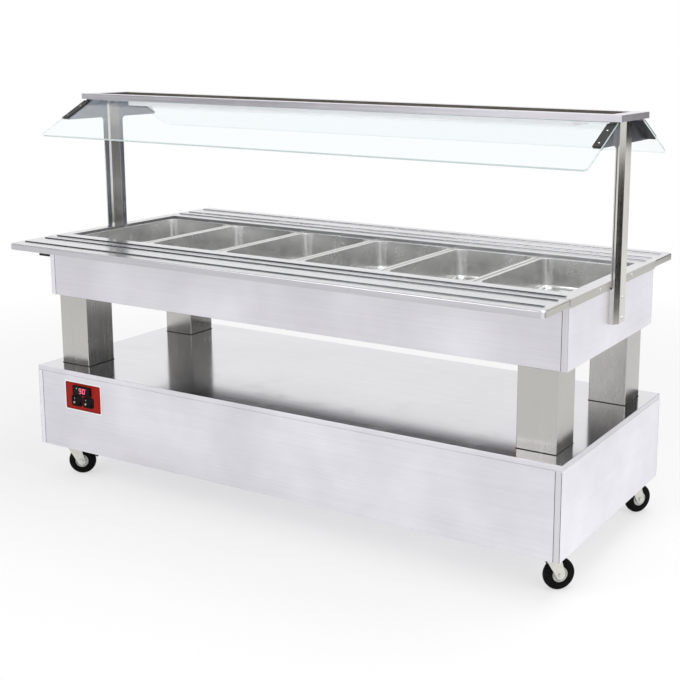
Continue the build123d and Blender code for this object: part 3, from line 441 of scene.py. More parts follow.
@dataclass(frozen=True)
class ClearGlass(Finish):
    """Toughened glass with the faintest tint and a few wiping marks."""

    tint: Colour = (0.955, 0.985, 0.992)
    wiping: tuple[float, float, float] = (1.0, 9.0, 9.0)
    smear: float = 0.04
    refraction: float = 1.45

    def paint(self, shader: Shader) -> Value:
        """Write the wiping marks over clear glass that lets the lamps through."""
        strokes = shader.noise(shader.place(self.wiping), scale=5.0, detail=3.0, roughness=0.6)
        pane = shader.principled(
            {
                "Base Color": self.tint,
                "Roughness": strokes.ramp(0.55, 0.8) * self.smear,
                "Transmission Weight": 1.0,
                "IOR": self.refraction,
            }
        )
        clear = shader.node("ShaderNodeBsdfTransparent", None, {"Color": self.tint})
        lighting = [
            shader.node("ShaderNodeLightPath", output=name) for name in ("Is Shadow Ray", "Is Diffuse Ray")
        ]
        return shader.mix(lighting[0].at_least(lighting[1]), pane, clear)


@dataclass(frozen=True)
class GroundGlass(Finish):
    """The ground and polished edge of a pane, where its green shows."""

    light: Colour = (0.80, 0.90, 0.89)
    dark: Colour = (0.66, 0.79, 0.78)

    def paint(self, shader: Shader) -> Value:
        """Write the grinding marks along the edge."""
        marks = shader.noise(shader.place(), scale=320.0, detail=3.0, roughness=0.6)
        return shader.principled(
            {
                "Base Color": shader.blend(self.dark, self.light, marks),
                "Roughness": marks * 0.2 + 0.2,
            }
        )


@dataclass(frozen=True)
class Lit(Finish):
    """A part that glows a little unevenly."""

    glow: Colour
    strength: float
    body: Colour = (0.05, 0.05, 0.05)
    dimmest: float = 0.8

    def paint(self, shader: Shader) -> Value:
        """Write the glow with a slight unevenness."""
        uneven = shader.noise(shader.place(), scale=180.0, detail=2.0, roughness=0.5)
        dim = tuple(channel * self.dimmest for channel in self.glow)
        return shader.principled(
            {
                "Base Color": self.body,
                "Roughness": 0.4,
                "Emission Color": shader.blend(dim, self.glow, uneven),
                "Emission Strength": self.strength,
            }
        )


FINISHES: dict[str, Finish] = {
    "casing": BrushedSteel((0.84, 0.83, 0.88), (0.61, 0.60, 0.64), Grain.ALONG_X, 0.38, 0.9, 1.7),
    "casing_end": BrushedSteel((0.96, 0.95, 1.0), (0.74, 0.73, 0.78), Grain.ALONG_Y, 0.40, 0.9, 1.7),
    "shelf": BrushedSteel((0.78, 0.77, 0.80), (0.62, 0.62, 0.64), Grain.ALONG_X, 0.12, 1.2),
    "column": BrushedSteel((0.58, 0.57, 0.55), (0.42, 0.41, 0.39), Grain.ALONG_Z, 0.24, 0.75),
    "tank": DrawnSteel((0.62, 0.62, 0.62), (0.48, 0.48, 0.47), 0.32),
    "element": DrawnSteel((0.40, 0.38, 0.36), (0.26, 0.24, 0.22), 0.42),
    "valve": DrawnSteel((0.74, 0.67, 0.52), (0.58, 0.50, 0.36), 0.30),
    "lever": Coated((0.55, 0.03, 0.02), (0.40, 0.02, 0.012), 0.3, coat=0.3),
    "top": BrushedSteel((0.78, 0.77, 0.80), (0.62, 0.61, 0.62), Grain.ALONG_X, 0.24),
    "hinge": Coated((0.022, 0.022, 0.022), (0.008, 0.008, 0.008), 0.45, 420.0, specular=0.2),
    "zinc": ZincPlate((0.80, 0.80, 0.76), (0.62, 0.62, 0.56)),
    "post": BrushedSteel((0.74, 0.73, 0.69), (0.56, 0.55, 0.51), Grain.ALONG_Z, 0.15, 0.9),
    "pane": ClearGlass(),
    "clamp": Coated((0.03, 0.03, 0.03), (0.010, 0.010, 0.010), 0.42, 500.0, specular=0.2),
    "roof": BrushedSteel((0.76, 0.74, 0.80), (0.58, 0.56, 0.61), Grain.ALONG_X, 0.36, 2.4),
    # Painted light: the lamp housing is white paint, not a lamp, yet it glows at half strength so that it
    # reads white in the shade under the roof.
    "lamp_white": Lit((1.0, 1.0, 1.0), 0.5, (0.85, 0.85, 0.85)),
    "diffuser": Lit((1.0, 0.98, 0.95), 1.1, (0.85, 0.85, 0.83)),
    "red_plate": BorderedPlate((-0.825, 0.336), (0.0845, 0.0505), 0.005),
    "black_plastic": Coated((0.009, 0.009, 0.010), (0.003, 0.003, 0.003), 0.3, 1200.0, specular=0.07),
    "gland": Coated((0.03, 0.03, 0.03), (0.012, 0.012, 0.012), 0.5, 900.0, specular=0.25),
    "screw": DrawnSteel((0.80, 0.80, 0.79), (0.64, 0.64, 0.63), 0.22),
    "hub": Coated((0.80, 0.81, 0.79), (0.62, 0.63, 0.61), 0.4, 700.0),
    "tyre": Rubber(),
    "pedal": Coated((0.025, 0.025, 0.025), (0.008, 0.008, 0.008), 0.4, 420.0, specular=0.2),
    "pan": DrawnSteel((0.72, 0.72, 0.72), (0.58, 0.58, 0.57), 0.24),
}

GLASS_EDGE = GroundGlass()
DISPLAY_WINDOW = Coated((0.010, 0.009, 0.011), (0.004, 0.004, 0.004), 0.1, 1500.0, specular=0.1)
# Painted shade: galvanised sheet darkened to near black for the well's floor, which lies in shade.
SHADED_GALVANISED = ZincPlate((0.07, 0.07, 0.075), (0.035, 0.035, 0.04), 0.5)
# Painted shade: dark strips standing in for the shade in the casing's joints and corners and at the
# columns' ends.
SEAM_SHADE = Coated((0.05, 0.05, 0.05), (0.02, 0.02, 0.02), 0.6, 700.0, specular=0.1)
LIT_DIGIT = Lit((1.0, 0.16, 0.26), 1.6, (0.3, 0.02, 0.04))
LIT_GREEN = Lit((0.12, 1.0, 0.35), 1.2, (0.02, 0.2, 0.05))
PRINTED_WHITE = Coated((0.86, 0.86, 0.86), (0.74, 0.74, 0.74), 0.5)


class FinishBook:
    """Makes each material once and hands it out."""

    def __init__(self) -> None:
        """Start with no materials."""
        self.made: dict[str, bpy.types.Material] = {}

    def get(self, name: str, finish: Finish) -> bpy.types.Material:
        """Return the named material, made from the finish the first time."""
        if name not in self.made:
            self.made[name] = finish.material(name)
        return self.made[name]

    def for_slot(self, slot: str) -> bpy.types.Material:
        """Return the material of one of the record's slots."""
        return self.get(slot, FINISHES[slot])


FINISH_BOOK = FinishBook()
NODE_SLOTS = {row["node"]: row["material_slot"] for row in frame["record"]["subparts"]}


def body_of_node(node: str) -> str:
    """Name of the body that a node rides on."""
    return frame["nodes"][node]["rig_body"]


def add_piece(
    name: str,
    shape: bmesh.types.BMesh,
    materials: list[bpy.types.Material],
    body: str,
    replaced: tuple[str, ...] = (),
) -> bpy.types.Object:
    """Turn a finished shape into a piece of the object.

    Args:
        name: The piece's name.
        shape: Its geometry in the row frame; it is freed.
        materials: Its materials, in the order of its faces' indices.
        body: The body that it rides on.
        replaced: Nodes that it stands for.

    Returns:
        The new object.
    """
    mesh = bpy.data.meshes.new(name)
    shape.to_mesh(mesh)
    shape.free()
    for material in materials:
        mesh.materials.append(material)
    piece = bpy.data.objects.new(name, mesh)
    bpy.context.scene.collection.objects.link(piece)
    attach(piece, body)
    if replaced:
        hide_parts(*replaced)
    log.info("%s: %d faces on %s", name, len(mesh.polygons), body)
    return piece


def even_normals(piece: bpy.types.Object) -> None:
    """Let the large flat faces set the shading along their rounded edges."""
    evened = piece.modifiers.new("even_normals", "WEIGHTED_NORMAL")
    evened.keep_sharp = True
    evened.weight = FACE_WEIGHT


def shade_by_angle(shape: bmesh.types.BMesh, angle: float) -> None:
    """Shade all faces smooth and keep the edges sharper than the angle."""
    for face in shape.faces:
        face.smooth = True
    for edge in shape.edges:
        edge.smooth = len(edge.link_faces) == 2 and edge.calc_face_angle(math.pi) < angle


def merged_copy(node: str) -> bmesh.types.BMesh:
    """Geometry of a node with its corners joined and its flat faces whole."""
    shape = bmesh.new()
    shape.from_mesh(frame["nodes"][node].data)
    bmesh.ops.remove_doubles(shape, verts=shape.verts[:], dist=MERGE_DISTANCE)
    bmesh.ops.dissolve_limit(shape, angle_limit=FLAT_ANGLE, verts=shape.verts[:], edges=shape.edges[:])
    return shape


def surface_widths(shape: bmesh.types.BMesh) -> dict[int, float]:
    """Measure how wide each smooth surface of a shape is.

    Args:
        shape: Geometry with its creases in place.

    Returns:
        The width in metres of the surface that each face belongs to.
    """
    widths: dict[int, float] = {}
    for seed in shape.faces:
        if seed.index in widths:
            continue
        region = [seed]
        widths[seed.index] = 0.0
        area = 0.0
        rim = 0.0
        for face in region:
            area += face.calc_area()
            for edge in face.edges:
                if len(edge.link_faces) != 2 or edge.calc_face_angle() > CREASE_ANGLE:
                    rim += edge.calc_length()
                    continue
                for neighbour in edge.link_faces:
                    if neighbour.index not in widths:
                        widths[neighbour.index] = 0.0
                        region.append(neighbour)
        for face in region:
            widths[face.index] = 2 * area / max(rim, 1e-6)
    return widths


def rounded_node(node: str, radius: float, segments: int = 3) -> bpy.types.Object:
    """Show a node with its outer edges rounded.

    Args:
        node: The node to stand for.
        radius: Radius of its folds in metres; cut edges get less.
        segments: Steps in each rounded edge.

    Returns:
        The piece that stands for the node.
    """
    shape = merged_copy(node)
    shape.faces.index_update()
    widths = surface_widths(shape)
    weight_layer = shape.edges.layers.float.new("bevel_weight_edge")
    for face in shape.faces:
        face.smooth = True
    for edge in shape.edges:
        edge.smooth = True
        if len(edge.link_faces) != 2 or edge.calc_face_angle() <= CREASE_ANGLE:
            continue
        edge.smooth = False
        if edge.calc_face_angle_signed() <= 0:
            continue
        narrow = min(widths[face.index] for face in edge.link_faces)
        weight = min(1.0, EDGE_SHARE * narrow / radius)
        if weight * radius > SMALLEST_RADIUS:
            edge[weight_layer] = weight
            edge.smooth = True
    slot = NODE_SLOTS[node]
    piece = add_piece(
        f"{node}_rounded",
        shape,
        [FINISH_BOOK.for_slot(slot)],
        body_of_node(node),
        (node,),
    )
    folds = piece.modifiers.new("rounded_edges", "BEVEL")
    folds.limit_method = "WEIGHT"
    folds.width = radius
    folds.segments = segments
    folds.use_clamp_overlap = True
    even_normals(piece)
    return piece


@dataclass(frozen=True)
class Accent:
    """A second finish on some faces of a sheet."""

    nodes: tuple[str, ...]
    name: str
    finish: Finish
    chosen: Callable[[bpy.types.MeshPolygon], bool]

    def apply(self, piece: bpy.types.Object) -> None:
        """Give the chosen faces of the piece this finish."""
        index = len(piece.data.materials)
        piece.data.materials.append(FINISH_BOOK.get(self.name, self.finish))
        for face in piece.data.polygons:
            if self.chosen(face):
                face.material_index = index


CORNERS = ("fl", "fr", "br", "bl")
BRAKED_CORNERS = ("fl", "bl")
PAN_COUNT = 6
SLIDES_AND_TOP = ("tray_slide_front", "tray_slide_rear", "counter_top")
RIB_BASE_HEIGHT = 0.8995
ROOF_FLOOR_HEIGHT = 1.3876
ROOF_RECESS = (1.03, 0.08)
SLIDE_LIP_REACH = 0.535
OPENING_REACH = (0.995, 0.282)
ACCENTS = (
    # Painted shade: the ribs' flanks that face the front or slope up get a dark steel, standing in for the
    # dark surroundings they reflect.
    Accent(
        SLIDES_AND_TOP,
        "rib_flank",
        BrushedSteel((0.26, 0.27, 0.28), (0.13, 0.14, 0.15), Grain.ALONG_X, 0.22),
        lambda face: face.normal.z < 0.95
        and face.center.z > RIB_BASE_HEIGHT
        and (face.center.y < 0 or face.normal.z > 0.2),
    ),
    # Painted shade: the end faces of the slides and the top get a darker copy of the top's steel.
    Accent(
        SLIDES_AND_TOP,
        "end_lip",
        BrushedSteel((0.62, 0.60, 0.57), (0.42, 0.41, 0.38), Grain.ALONG_Y, 0.30),
        lambda face: abs(face.normal.x) > 0.9,
    ),
    # Painted shade: the front and rear faces of the slides' lips get a darker copy of the top's steel.
    Accent(
        ("tray_slide_front", "tray_slide_rear"),
        "front_lip",
        BrushedSteel((0.66, 0.65, 0.68), (0.48, 0.47, 0.50), Grain.ALONG_X, 0.30),
        lambda face: abs(face.normal.y) > 0.9 and abs(face.center.y) > SLIDE_LIP_REACH,
    ),
    # Painted shade: the walls of the opening for the pans are darkened, for the shadow down in the
    # opening.
    Accent(
        ("counter_top",),
        "opening_wall",
        BrushedSteel((0.46, 0.46, 0.47), (0.30, 0.30, 0.31), Grain.ALONG_X, 0.30),
        lambda face: abs(face.normal.z) < 0.5
        and abs(face.center.x) < OPENING_REACH[0]
        and abs(face.center.y) < OPENING_REACH[1],
    ),
    # Painted shade: the walls of the roof's recess are coated near black, for the shade in the recess.
    Accent(
        ("roof",),
        "recess_wall",
        Coated((0.16, 0.145, 0.11), (0.06, 0.055, 0.045), 0.5, 500.0, specular=0.2),
        lambda face: abs(face.normal.z) < 0.5
        and abs(face.center.x) < ROOF_RECESS[0]
        and abs(face.center.y) < ROOF_RECESS[1]
        and face.center.z > ROOF_FLOOR_HEIGHT,
    ),
    Accent(("base_shelf",), "casing", FINISHES["casing"], lambda face: abs(face.normal.z) < 0.5),
    # Painted shadow: the returns of the end panels at the +X end get a darker steel, for the shadow under
    # the slide.
    Accent(
        ("base_end_panels", "well_end_panels"),
        "casing_return",
        BrushedSteel((0.74, 0.73, 0.77), (0.58, 0.57, 0.61), Grain.ALONG_Z, 0.36),
        lambda face: abs(face.normal.y) > 0.7 and face.center.x > 0,
    ),
    # Painted shade: the side faces of the post plates get a dark copy of the post's steel, for the shade
    # under the roof.
    Accent(
        ("post_plates",),
        "post_plate",
        BrushedSteel((0.30, 0.32, 0.36), (0.20, 0.22, 0.26), Grain.ALONG_Z, 0.22, 0.9),
        lambda face: abs(face.normal.x) > 0.9,
    ),
    # Painted reflection: the side faces of the inner post channels get a darker copy of the post's steel,
    # for the dark they reflect.
    Accent(
        ("post_inner_channels",),
        "channel_face",
        BrushedSteel((0.46, 0.45, 0.43), (0.34, 0.33, 0.31), Grain.ALONG_Z, 0.2, 0.9),
        lambda face: abs(face.normal.x) > 0.9,
    ),
    Accent(
        ("post_plates",),
        "clamp",
        FINISHES["clamp"],
        lambda face: 0.8 < abs(face.normal.z) < 0.95,
    ),
)


@dataclass
class Sheetwork:
    """Folded sheets, cut plates and mouldings shown with rounded edges."""

    radii: dict[str, float]

    def build(self) -> None:
        """Stand a rounded piece in for each listed node and give it its second finishes."""
        for node, radius in self.radii.items():
            piece = rounded_node(node, radius * MM)
            for accent in ACCENTS:
                if node in accent.nodes:
                    accent.apply(piece)


SHEETS = Sheetwork(
    {
        "base_shelf": 1.6,
        "base_front_panel": 1.4,
        "base_rear_panel": 1.4,
        "base_end_panels": 1.4,
        "columns": 0.5,
        "well_long_panels": 1.4,
        "well_end_panels": 1.4,
        "counter_top": 1.8,
        "tray_slide_front": 4.8,
        "tray_slide_rear": 4.8,
        "divider_bars": 0.8,
        "post_plates": 0.5,
        "post_outer_channels": 1.2,
        "post_inner_channels": 0.8,
        "roof": 1.4,
        "lamp_housing": 1.0,
        "glass_clamps": 0.6,
        "control_plate": 0.4,
        "thermostat": 1.0,
        "switch_bezels": 1.0,
        "heat_rocker": 0.7,
        "light_rocker": 0.7,
        "thermostat_up_button": 0.5,
        "thermostat_down_button": 0.5,
        "slide_arms_front": 0.7,
        "slide_arms_rear": 0.7,
        "hinge_brackets": 0.7,
        "drain_lever": 0.6,
        "drain_valve": 0.8,
        "cable_gland": 0.6,
        "castor_plates": 0.5,
        **{f"castor_{corner}_fork": 0.5 for corner in CORNERS},
        **{f"brake_pedal_{corner}": 0.5 for corner in BRAKED_CORNERS},
        **{f"pan_{number}": 0.9 for number in range(1, PAN_COUNT + 1)},
        "tank": 0.8,
    }
)


@dataclass(frozen=True)
class Lamp:
    """A square soft lamp that faces the object, in metres and watts."""

    name: str
    place: tuple[float, float, float]
    size: float
    power: float
    aim: tuple[float, float, float] = (0.0, 0.0, 0.7)

    def build(self) -> None:
        """Hang the lamp."""
        data = bpy.data.lights.new(self.name, "AREA")
        data.shape = "SQUARE"
        data.size = self.size
        data.energy = self.power
        lamp = bpy.data.objects.new(self.name, data)
        lamp.location = self.place
        ray = Vector(self.aim) - Vector(self.place)
        lamp.rotation_mode = "QUATERNION"
        lamp.rotation_quaternion = ray.to_track_quat("-Z", "Y")
        bpy.context.scene.collection.objects.link(lamp)


@dataclass(frozen=True)
class Card:
    """A dark card that only shows in reflections, given by its middle and two sides in metres."""

    name: str
    place: tuple[float, float, float]
    across: tuple[float, float, float]
    along: tuple[float, float, float]
    level: float
    through_glass: bool = False

    def build(self) -> None:
        """Stand the card; through_glass lets reflections seen through the panes show it too."""
        shape = bmesh.new()
        bmesh.ops.create_grid(shape, x_segments=1, y_segments=1, size=0.5)
        facing_way = Vector(self.across).cross(Vector(self.along))
        sides = Matrix((self.across, self.along, facing_way)).transposed().to_4x4()
        bmesh.ops.transform(shape, matrix=Matrix.Translation(self.place) @ sides, verts=shape.verts[:])
        mesh = bpy.data.meshes.new(self.name)
        shape.to_mesh(mesh)
        shape.free()
        card = bpy.data.objects.new(self.name, mesh)
        bpy.context.scene.collection.objects.link(card)
        card.visible_camera = False
        card.visible_diffuse = False
        card.visible_transmission = self.through_glass
        card.visible_shadow = False
        material = bpy.data.materials.new(self.name)
        shader = Shader(material)
        grey = (self.level, self.level, self.level)
        shader.output(shader.node("ShaderNodeEmission", None, {"Color": grey}))
        mesh.materials.append(material)


@dataclass
class Studio:
    """Pale floor, white surroundings, soft lamps and the camera."""

    camera_place: tuple[float, float, float] = (2.3218, -3.4517, 1.6212)
    azimuth: float = 29.49
    elevation: float = 10.93
    roll: float = 0.5
    focal_pixels: float = 1205.17
    image_pixels: float = 680.0
    principal: tuple[float, float] = (429.66, 270.89)
    sensor: float = 36.0
    lighting_level: float = 0.55
    floor_radius: float = 30.0
    floor_lit: Colour = (0.78, 0.78, 0.78)
    floor_seen: Colour = (0.44, 0.44, 0.44)
    floor_glow: float = 0.54
    fade_start: float = 1.8
    fade_end: float = 4.2
    lamps: tuple[Lamp, ...] = (
        Lamp("key_lamp", (-2.6, -4.2, 4.0), 3.0, 95.0),
        Lamp("fill_lamp", (4.6, -1.2, 3.2), 2.6, 60.0),
        Lamp("top_lamp", (1.4, 0.6, 4.8), 3.0, 80.0),
    )
    cards: tuple[Card, ...] = (
        Card("dark_side_card", (4.4, 0.45, 0.2), (0.0, 1.3, 0.0), (0.0, 0.0, 1.5), 0.015),
        Card("dark_rear_card", (2.15, 2.9, 1.45), (2.3, 0.0, 0.0), (0.0, 0.0, 0.8), 0.02),
        Card("dark_front_card", (-2.8, -3.0, 1.6), (3.0, 0.0, 0.0), (0.0, 0.0, 1.5), 0.03),
        Card("dark_middle_card", (1.45, 2.9, 0.8), (1.0, 0.0, 0.0), (0.0, 0.0, 0.7), 0.05, True),
        Card("dark_low_card", (0.45, 1.8, 0.2), (1.2, 0.0, 0.0), (0.0, 0.0, 0.4), 0.02),
        Card("dark_upper_card", (-1.3, -1.2, 3.2), (5.5, 0.0, 0.0), (0.0, 1.5, 0.0), 0.03),
    )

    def build(self) -> None:
        """Make the whole studio."""
        self.add_camera()
        self.add_world()
        self.add_floor()
        for thing in (*self.lamps, *self.cards):
            thing.build()
        bpy.context.scene.view_settings.view_transform = "Standard"

    def add_camera(self) -> None:
        """Place the camera where the photograph was taken from."""
        turn = math.radians(self.azimuth)
        rise = math.radians(self.elevation)
        tilt = math.radians(self.roll)
        back = Vector((math.sin(turn) * math.cos(rise), -math.cos(turn) * math.cos(rise), math.sin(rise)))
        level = (-back).cross(Vector((0, 0, 1))).normalized()
        upright = level.cross(-back)
        right = level * math.cos(tilt) + upright * math.sin(tilt)
        above = upright * math.cos(tilt) - level * math.sin(tilt)
        data = bpy.data.cameras.new("camera")
        data.sensor_width = self.sensor
        data.lens = self.focal_pixels * self.sensor / self.image_pixels
        data.shift_x = 0.5 - self.principal[0] / self.image_pixels
        data.shift_y = self.principal[1] / self.image_pixels - 0.5
        camera = bpy.data.objects.new("camera", data)
        axes = Matrix((right, above, back)).transposed().to_4x4()
        camera.matrix_world = Matrix.Translation(self.camera_place) @ axes
        bpy.context.scene.collection.objects.link(camera)
        bpy.context.scene.camera = camera

    def add_world(self) -> None:
        """Surround the object with white, dimmer where it lights."""
        world = bpy.data.worlds.new("surroundings")
        bpy.context.scene.world = world
        shader = Shader(world)
        strength = shader.seen() * (1.0 - self.lighting_level) + self.lighting_level
        inputs = {"Color": (1.0, 1.0, 1.0), "Strength": strength}
        light = shader.node("ShaderNodeBackground", None, inputs)
        shader.node("ShaderNodeOutputWorld", None, {"Surface": light})

    def add_floor(self) -> None:
        """Lay a pale floor that keeps the shadow and fades to white."""
        shape = bmesh.new()
        bmesh.ops.create_circle(shape, cap_ends=True, segments=96, radius=self.floor_radius)
        mesh = bpy.data.meshes.new("floor")
        shape.to_mesh(mesh)
        shape.free()
        floor = bpy.data.objects.new("floor", mesh)
        bpy.context.scene.collection.objects.link(floor)
        material = bpy.data.materials.new("floor")
        shader = Shader(material)
        seen = shader.seen()
        paint = shader.blend(self.floor_lit, self.floor_seen, seen)
        matt = shader.node("ShaderNodeBsdfDiffuse", None, {"Color": paint})
        glow = shader.node("ShaderNodeEmission", None, {"Strength": seen * self.floor_glow})
        lit = shader.node("ShaderNodeAddShader", None, {0: matt, 1: glow})
        white = shader.node("ShaderNodeEmission", None, {"Strength": 1.0})
        point = shader.node("ShaderNodeTexCoord", output="Object")
        distance = shader.node("ShaderNodeVectorMath", {"operation": "LENGTH"}, {0: point}, "Value")
        fade = distance.ramp(self.fade_start, self.fade_end) * seen
        shader.output(shader.mix(fade, lit, white))
        mesh.materials.append(material)


def box_mm(node: str) -> tuple[Vector, Vector]:
    """Low and high corners of a node's box in millimetres."""
    low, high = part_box(node)
    return low / MM, high / MM


def add_box(shape: bmesh.types.BMesh, size: Vector, place: Matrix) -> None:
    """Add a box of this size, centred on the place."""
    bmesh.ops.create_cube(shape, size=1.0, matrix=place @ Matrix.Diagonal((*size, 1.0)))


def add_disc(
    shape: bmesh.types.BMesh, segments: int, radius: float, height: float, place: Matrix
) -> None:
    """Add a closed disc or prism.

    Args:
        shape: Geometry to add to.
        segments: Number of its sides.
        radius: Its radius in millimetres.
        height: Its height in millimetres.
        place: Frame at its middle, with Z along its axis.
    """
    bmesh.ops.create_cone(
        shape,
        cap_ends=True,
        cap_tris=False,
        segments=segments,
        radius1=radius * MM,
        radius2=radius * MM,
        depth=height * MM,
        matrix=place,
    )


def bevel_creases(shape: bmesh.types.BMesh, width: float, material: int = -1) -> None:
    """Round every sharp edge of a shape.

    Args:
        shape: The geometry.
        width: Width taken off each side, in metres.
        material: Index of the rounded faces' material, or -1 for their neighbours'.
    """
    bmesh.ops.bevel(
        shape,
        geom=[edge for edge in shape.edges if edge.calc_face_angle(0.0) > CREASE_ANGLE],
        offset=width,
        offset_type="OFFSET",
        segments=2,
        profile=0.5,
        affect="EDGES",
        material=material,
        clamp_overlap=True,
    )


def facing(point: Vector, axis: Vector) -> Matrix:
    """Place at a point, with its own Z along the axis."""
    return Matrix.Translation(point) @ axis.to_track_quat("Z", "Y").to_matrix().to_4x4()


@dataclass
class Glazing:
    """The two sloping panes with their ground edges."""

    panes: tuple[str, ...] = ("glass_front", "glass_rear")
    arris: float = 0.6

    def build(self) -> None:
        """Stand a pane with ground edges in for each glass node."""
        for node in self.panes:
            shape = merged_copy(node)
            largest = max(shape.faces, key=lambda face: face.calc_area()).normal.copy()
            for face in shape.faces:
                face.material_index = int(abs(face.normal.dot(largest)) < 0.5)
            bevel_creases(shape, self.arris * MM, 1)
            shade_by_angle(shape, CREASE_ANGLE)
            for face in shape.faces:
                face.smooth = face.material_index == 1
            materials = [FINISH_BOOK.for_slot("pane"), FINISH_BOOK.get("pane_edge", GLASS_EDGE)]
            add_piece(f"{node}_pane", shape, materials, body_of_node(node), (node,))


@dataclass
class CornerSeamShade:
    """Dark strips of painted shade in the joints beside the end panels' returns and along their folded
    corners.
    """

    joints: tuple[tuple[str, str], ...] = (
        ("base_front_panel", "base_end_panels"),
        ("well_long_panels", "well_end_panels"),
    )
    width: float = 1.8
    depth: float = 0.9
    proud: float = 0.05
    shift: float = 0.25
    corner_width: float = 1.5
    corner_depth: float = 0.8
    corner_inset: float = 0.52
    end_gap: float = 4.0

    def build(self) -> None:
        """Lay a strip in each joint and at each corner of both casings."""
        shape = bmesh.new()
        for long_node, end_node in self.joints:
            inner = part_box(long_node)[1]
            low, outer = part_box(end_node)
            height = outer.z - max(low.z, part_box(long_node)[0].z) - self.end_gap * MM
            middle_z = (outer.z + low.z) / 2
            joint_x = inner.x + self.shift * MM
            joint_y = outer.y + (self.proud - self.depth / 2) * MM
            inset = (self.corner_inset + self.corner_depth / 2) * MM / math.sqrt(2)
            for turn_x, turn_y in product((-1, 1), repeat=2):
                joint = Vector((turn_x * joint_x, turn_y * joint_y, middle_z))
                size = Vector((self.width * MM, self.depth * MM, height))
                add_box(shape, size, Matrix.Translation(joint))
                corner = Vector((turn_x * (outer.x - inset), turn_y * (outer.y - inset), middle_z))
                turn = Matrix.Rotation(turn_x * turn_y * math.radians(-45), 4, "Z")
                size = Vector((self.corner_width * MM, self.corner_depth * MM, height))
                add_box(shape, size, Matrix.Translation(corner) @ turn)
        material = FINISH_BOOK.get("seam_filler", SEAM_SHADE)
        add_piece("corner_seams", shape, [material], "counter")


@dataclass
class ColumnShadeBeads:
    """Dark beads of painted shade where the columns meet the shelf and the well."""

    node: str = "columns"
    proud: float = 0.7
    height: float = 2.0

    def build(self) -> None:
        """Run a bead round both ends of each column."""
        shape = bmesh.new()
        points = [vert.co for vert in frame["nodes"][self.node].data.vertices]
        grown = Vector((2 * self.proud, 2 * self.proud, 0)) * MM
        for side_x, side_y in product((-1, 1), repeat=2):
            own = [point for point in points if point.x * side_x > 0 and point.y * side_y > 0]
            low = Vector([min(point[axis] for point in own) for axis in range(3)])
            high = Vector([max(point[axis] for point in own) for axis in range(3)])
            size = Vector((high.x - low.x, high.y - low.y, self.height * MM)) + grown
            for level in (low.z + self.height / 2 * MM, high.z - self.height / 2 * MM):
                middle = Vector(((low.x + high.x) / 2, (low.y + high.y) / 2, level))
                add_box(shape, size, Matrix.Translation(middle))
        material = FINISH_BOOK.get("seam_filler", SEAM_SHADE)
        add_piece("column_beads", shape, [material], "counter")


@dataclass
class CastorWheels:
    """Turned hubs and round-shouldered tyres in place of the plain wheels."""

    tyre_profile: tuple[tuple[float, float], ...] = (
        (24.0, 9.0),
        (24.4, 12.2),
        (26.5, 13.4),
        (33.0, 13.9),
        (41.0, 13.4),
        (46.0, 11.6),
        (48.7, 8.6),
        (49.8, 4.5),
    )
    hub_profile: tuple[tuple[float, float], ...] = (
        (5.2, 16.6),
        (10.5, 16.6),
        (11.5, 15.6),
        (12.0, 9.0),
        (13.5, 7.2),
        (20.5, 7.2),
        (22.0, 8.6),
        (22.6, 12.4),
        (24.0, 12.4),
    )
    steps: int = 48
    crease: float = math.radians(38)

    def build(self) -> None:
        """Turn a tyre and a hub for each castor."""
        for corner in CORNERS:
            place = self.wheel_place(f"castor_{corner}_tyre")
            for part, profile in (("tyre", self.tyre_profile), ("hub", self.hub_profile)):
                node = f"castor_{corner}_{part}"
                shape = bmesh.new()
                self.turn_profile(shape, profile)
                bmesh.ops.transform(shape, matrix=place, verts=shape.verts[:])
                shade_by_angle(shape, self.crease)
                material = FINISH_BOOK.for_slot(part)
                add_piece(f"{node}_turned", shape, [material], body_of_node(node), (node,))

    def wheel_place(self, tyre: str) -> Matrix:
        """Frame at a wheel's centre with its X along the axle.

        Args:
            tyre: The node of the wheel's tyre.

        Returns:
            The frame in metres.
        """
        low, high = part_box(tyre)
        axle = self.axle_of(frame["nodes"][tyre].data)
        upright = Vector((0, 0, 1))
        axes = Matrix((axle, upright.cross(axle), upright)).transposed().to_4x4()
        return Matrix.Translation((low + high) / 2) @ axes

    def axle_of(self, mesh: bpy.types.Mesh) -> Vector:
        """Level direction that most of the mesh's area faces."""
        areas: dict[tuple[float, float], float] = {}
        for face in mesh.polygons:
            if abs(face.normal.z) < 0.01:
                key = (round(face.normal.x, 2), round(face.normal.y, 2))
                areas[key] = areas.get(key, 0.0) + face.area
        across = max(areas, key=lambda key: areas[key])
        return Vector((*across, 0.0)).normalized()

    def turn_profile(self, shape: bmesh.types.BMesh, half: tuple[tuple[float, float], ...]) -> None:
        """Spin a profile given as radius and half width about X."""
        outline = [*half, *((radius, -across) for radius, across in reversed(half))]
        corners = [shape.verts.new((across * MM, 0, radius * MM)) for radius, across in outline]
        following = [*corners[1:], corners[0]]
        edges = [shape.edges.new(pair) for pair in zip(corners, following, strict=True)]
        bmesh.ops.spin(
            shape,
            geom=[*corners, *edges],
            cent=(0, 0, 0),
            axis=(1, 0, 0),
            angle=2 * math.pi,
            steps=self.steps,
            use_merge=True,
        )
        bmesh.ops.recalc_face_normals(shape, faces=shape.faces[:])


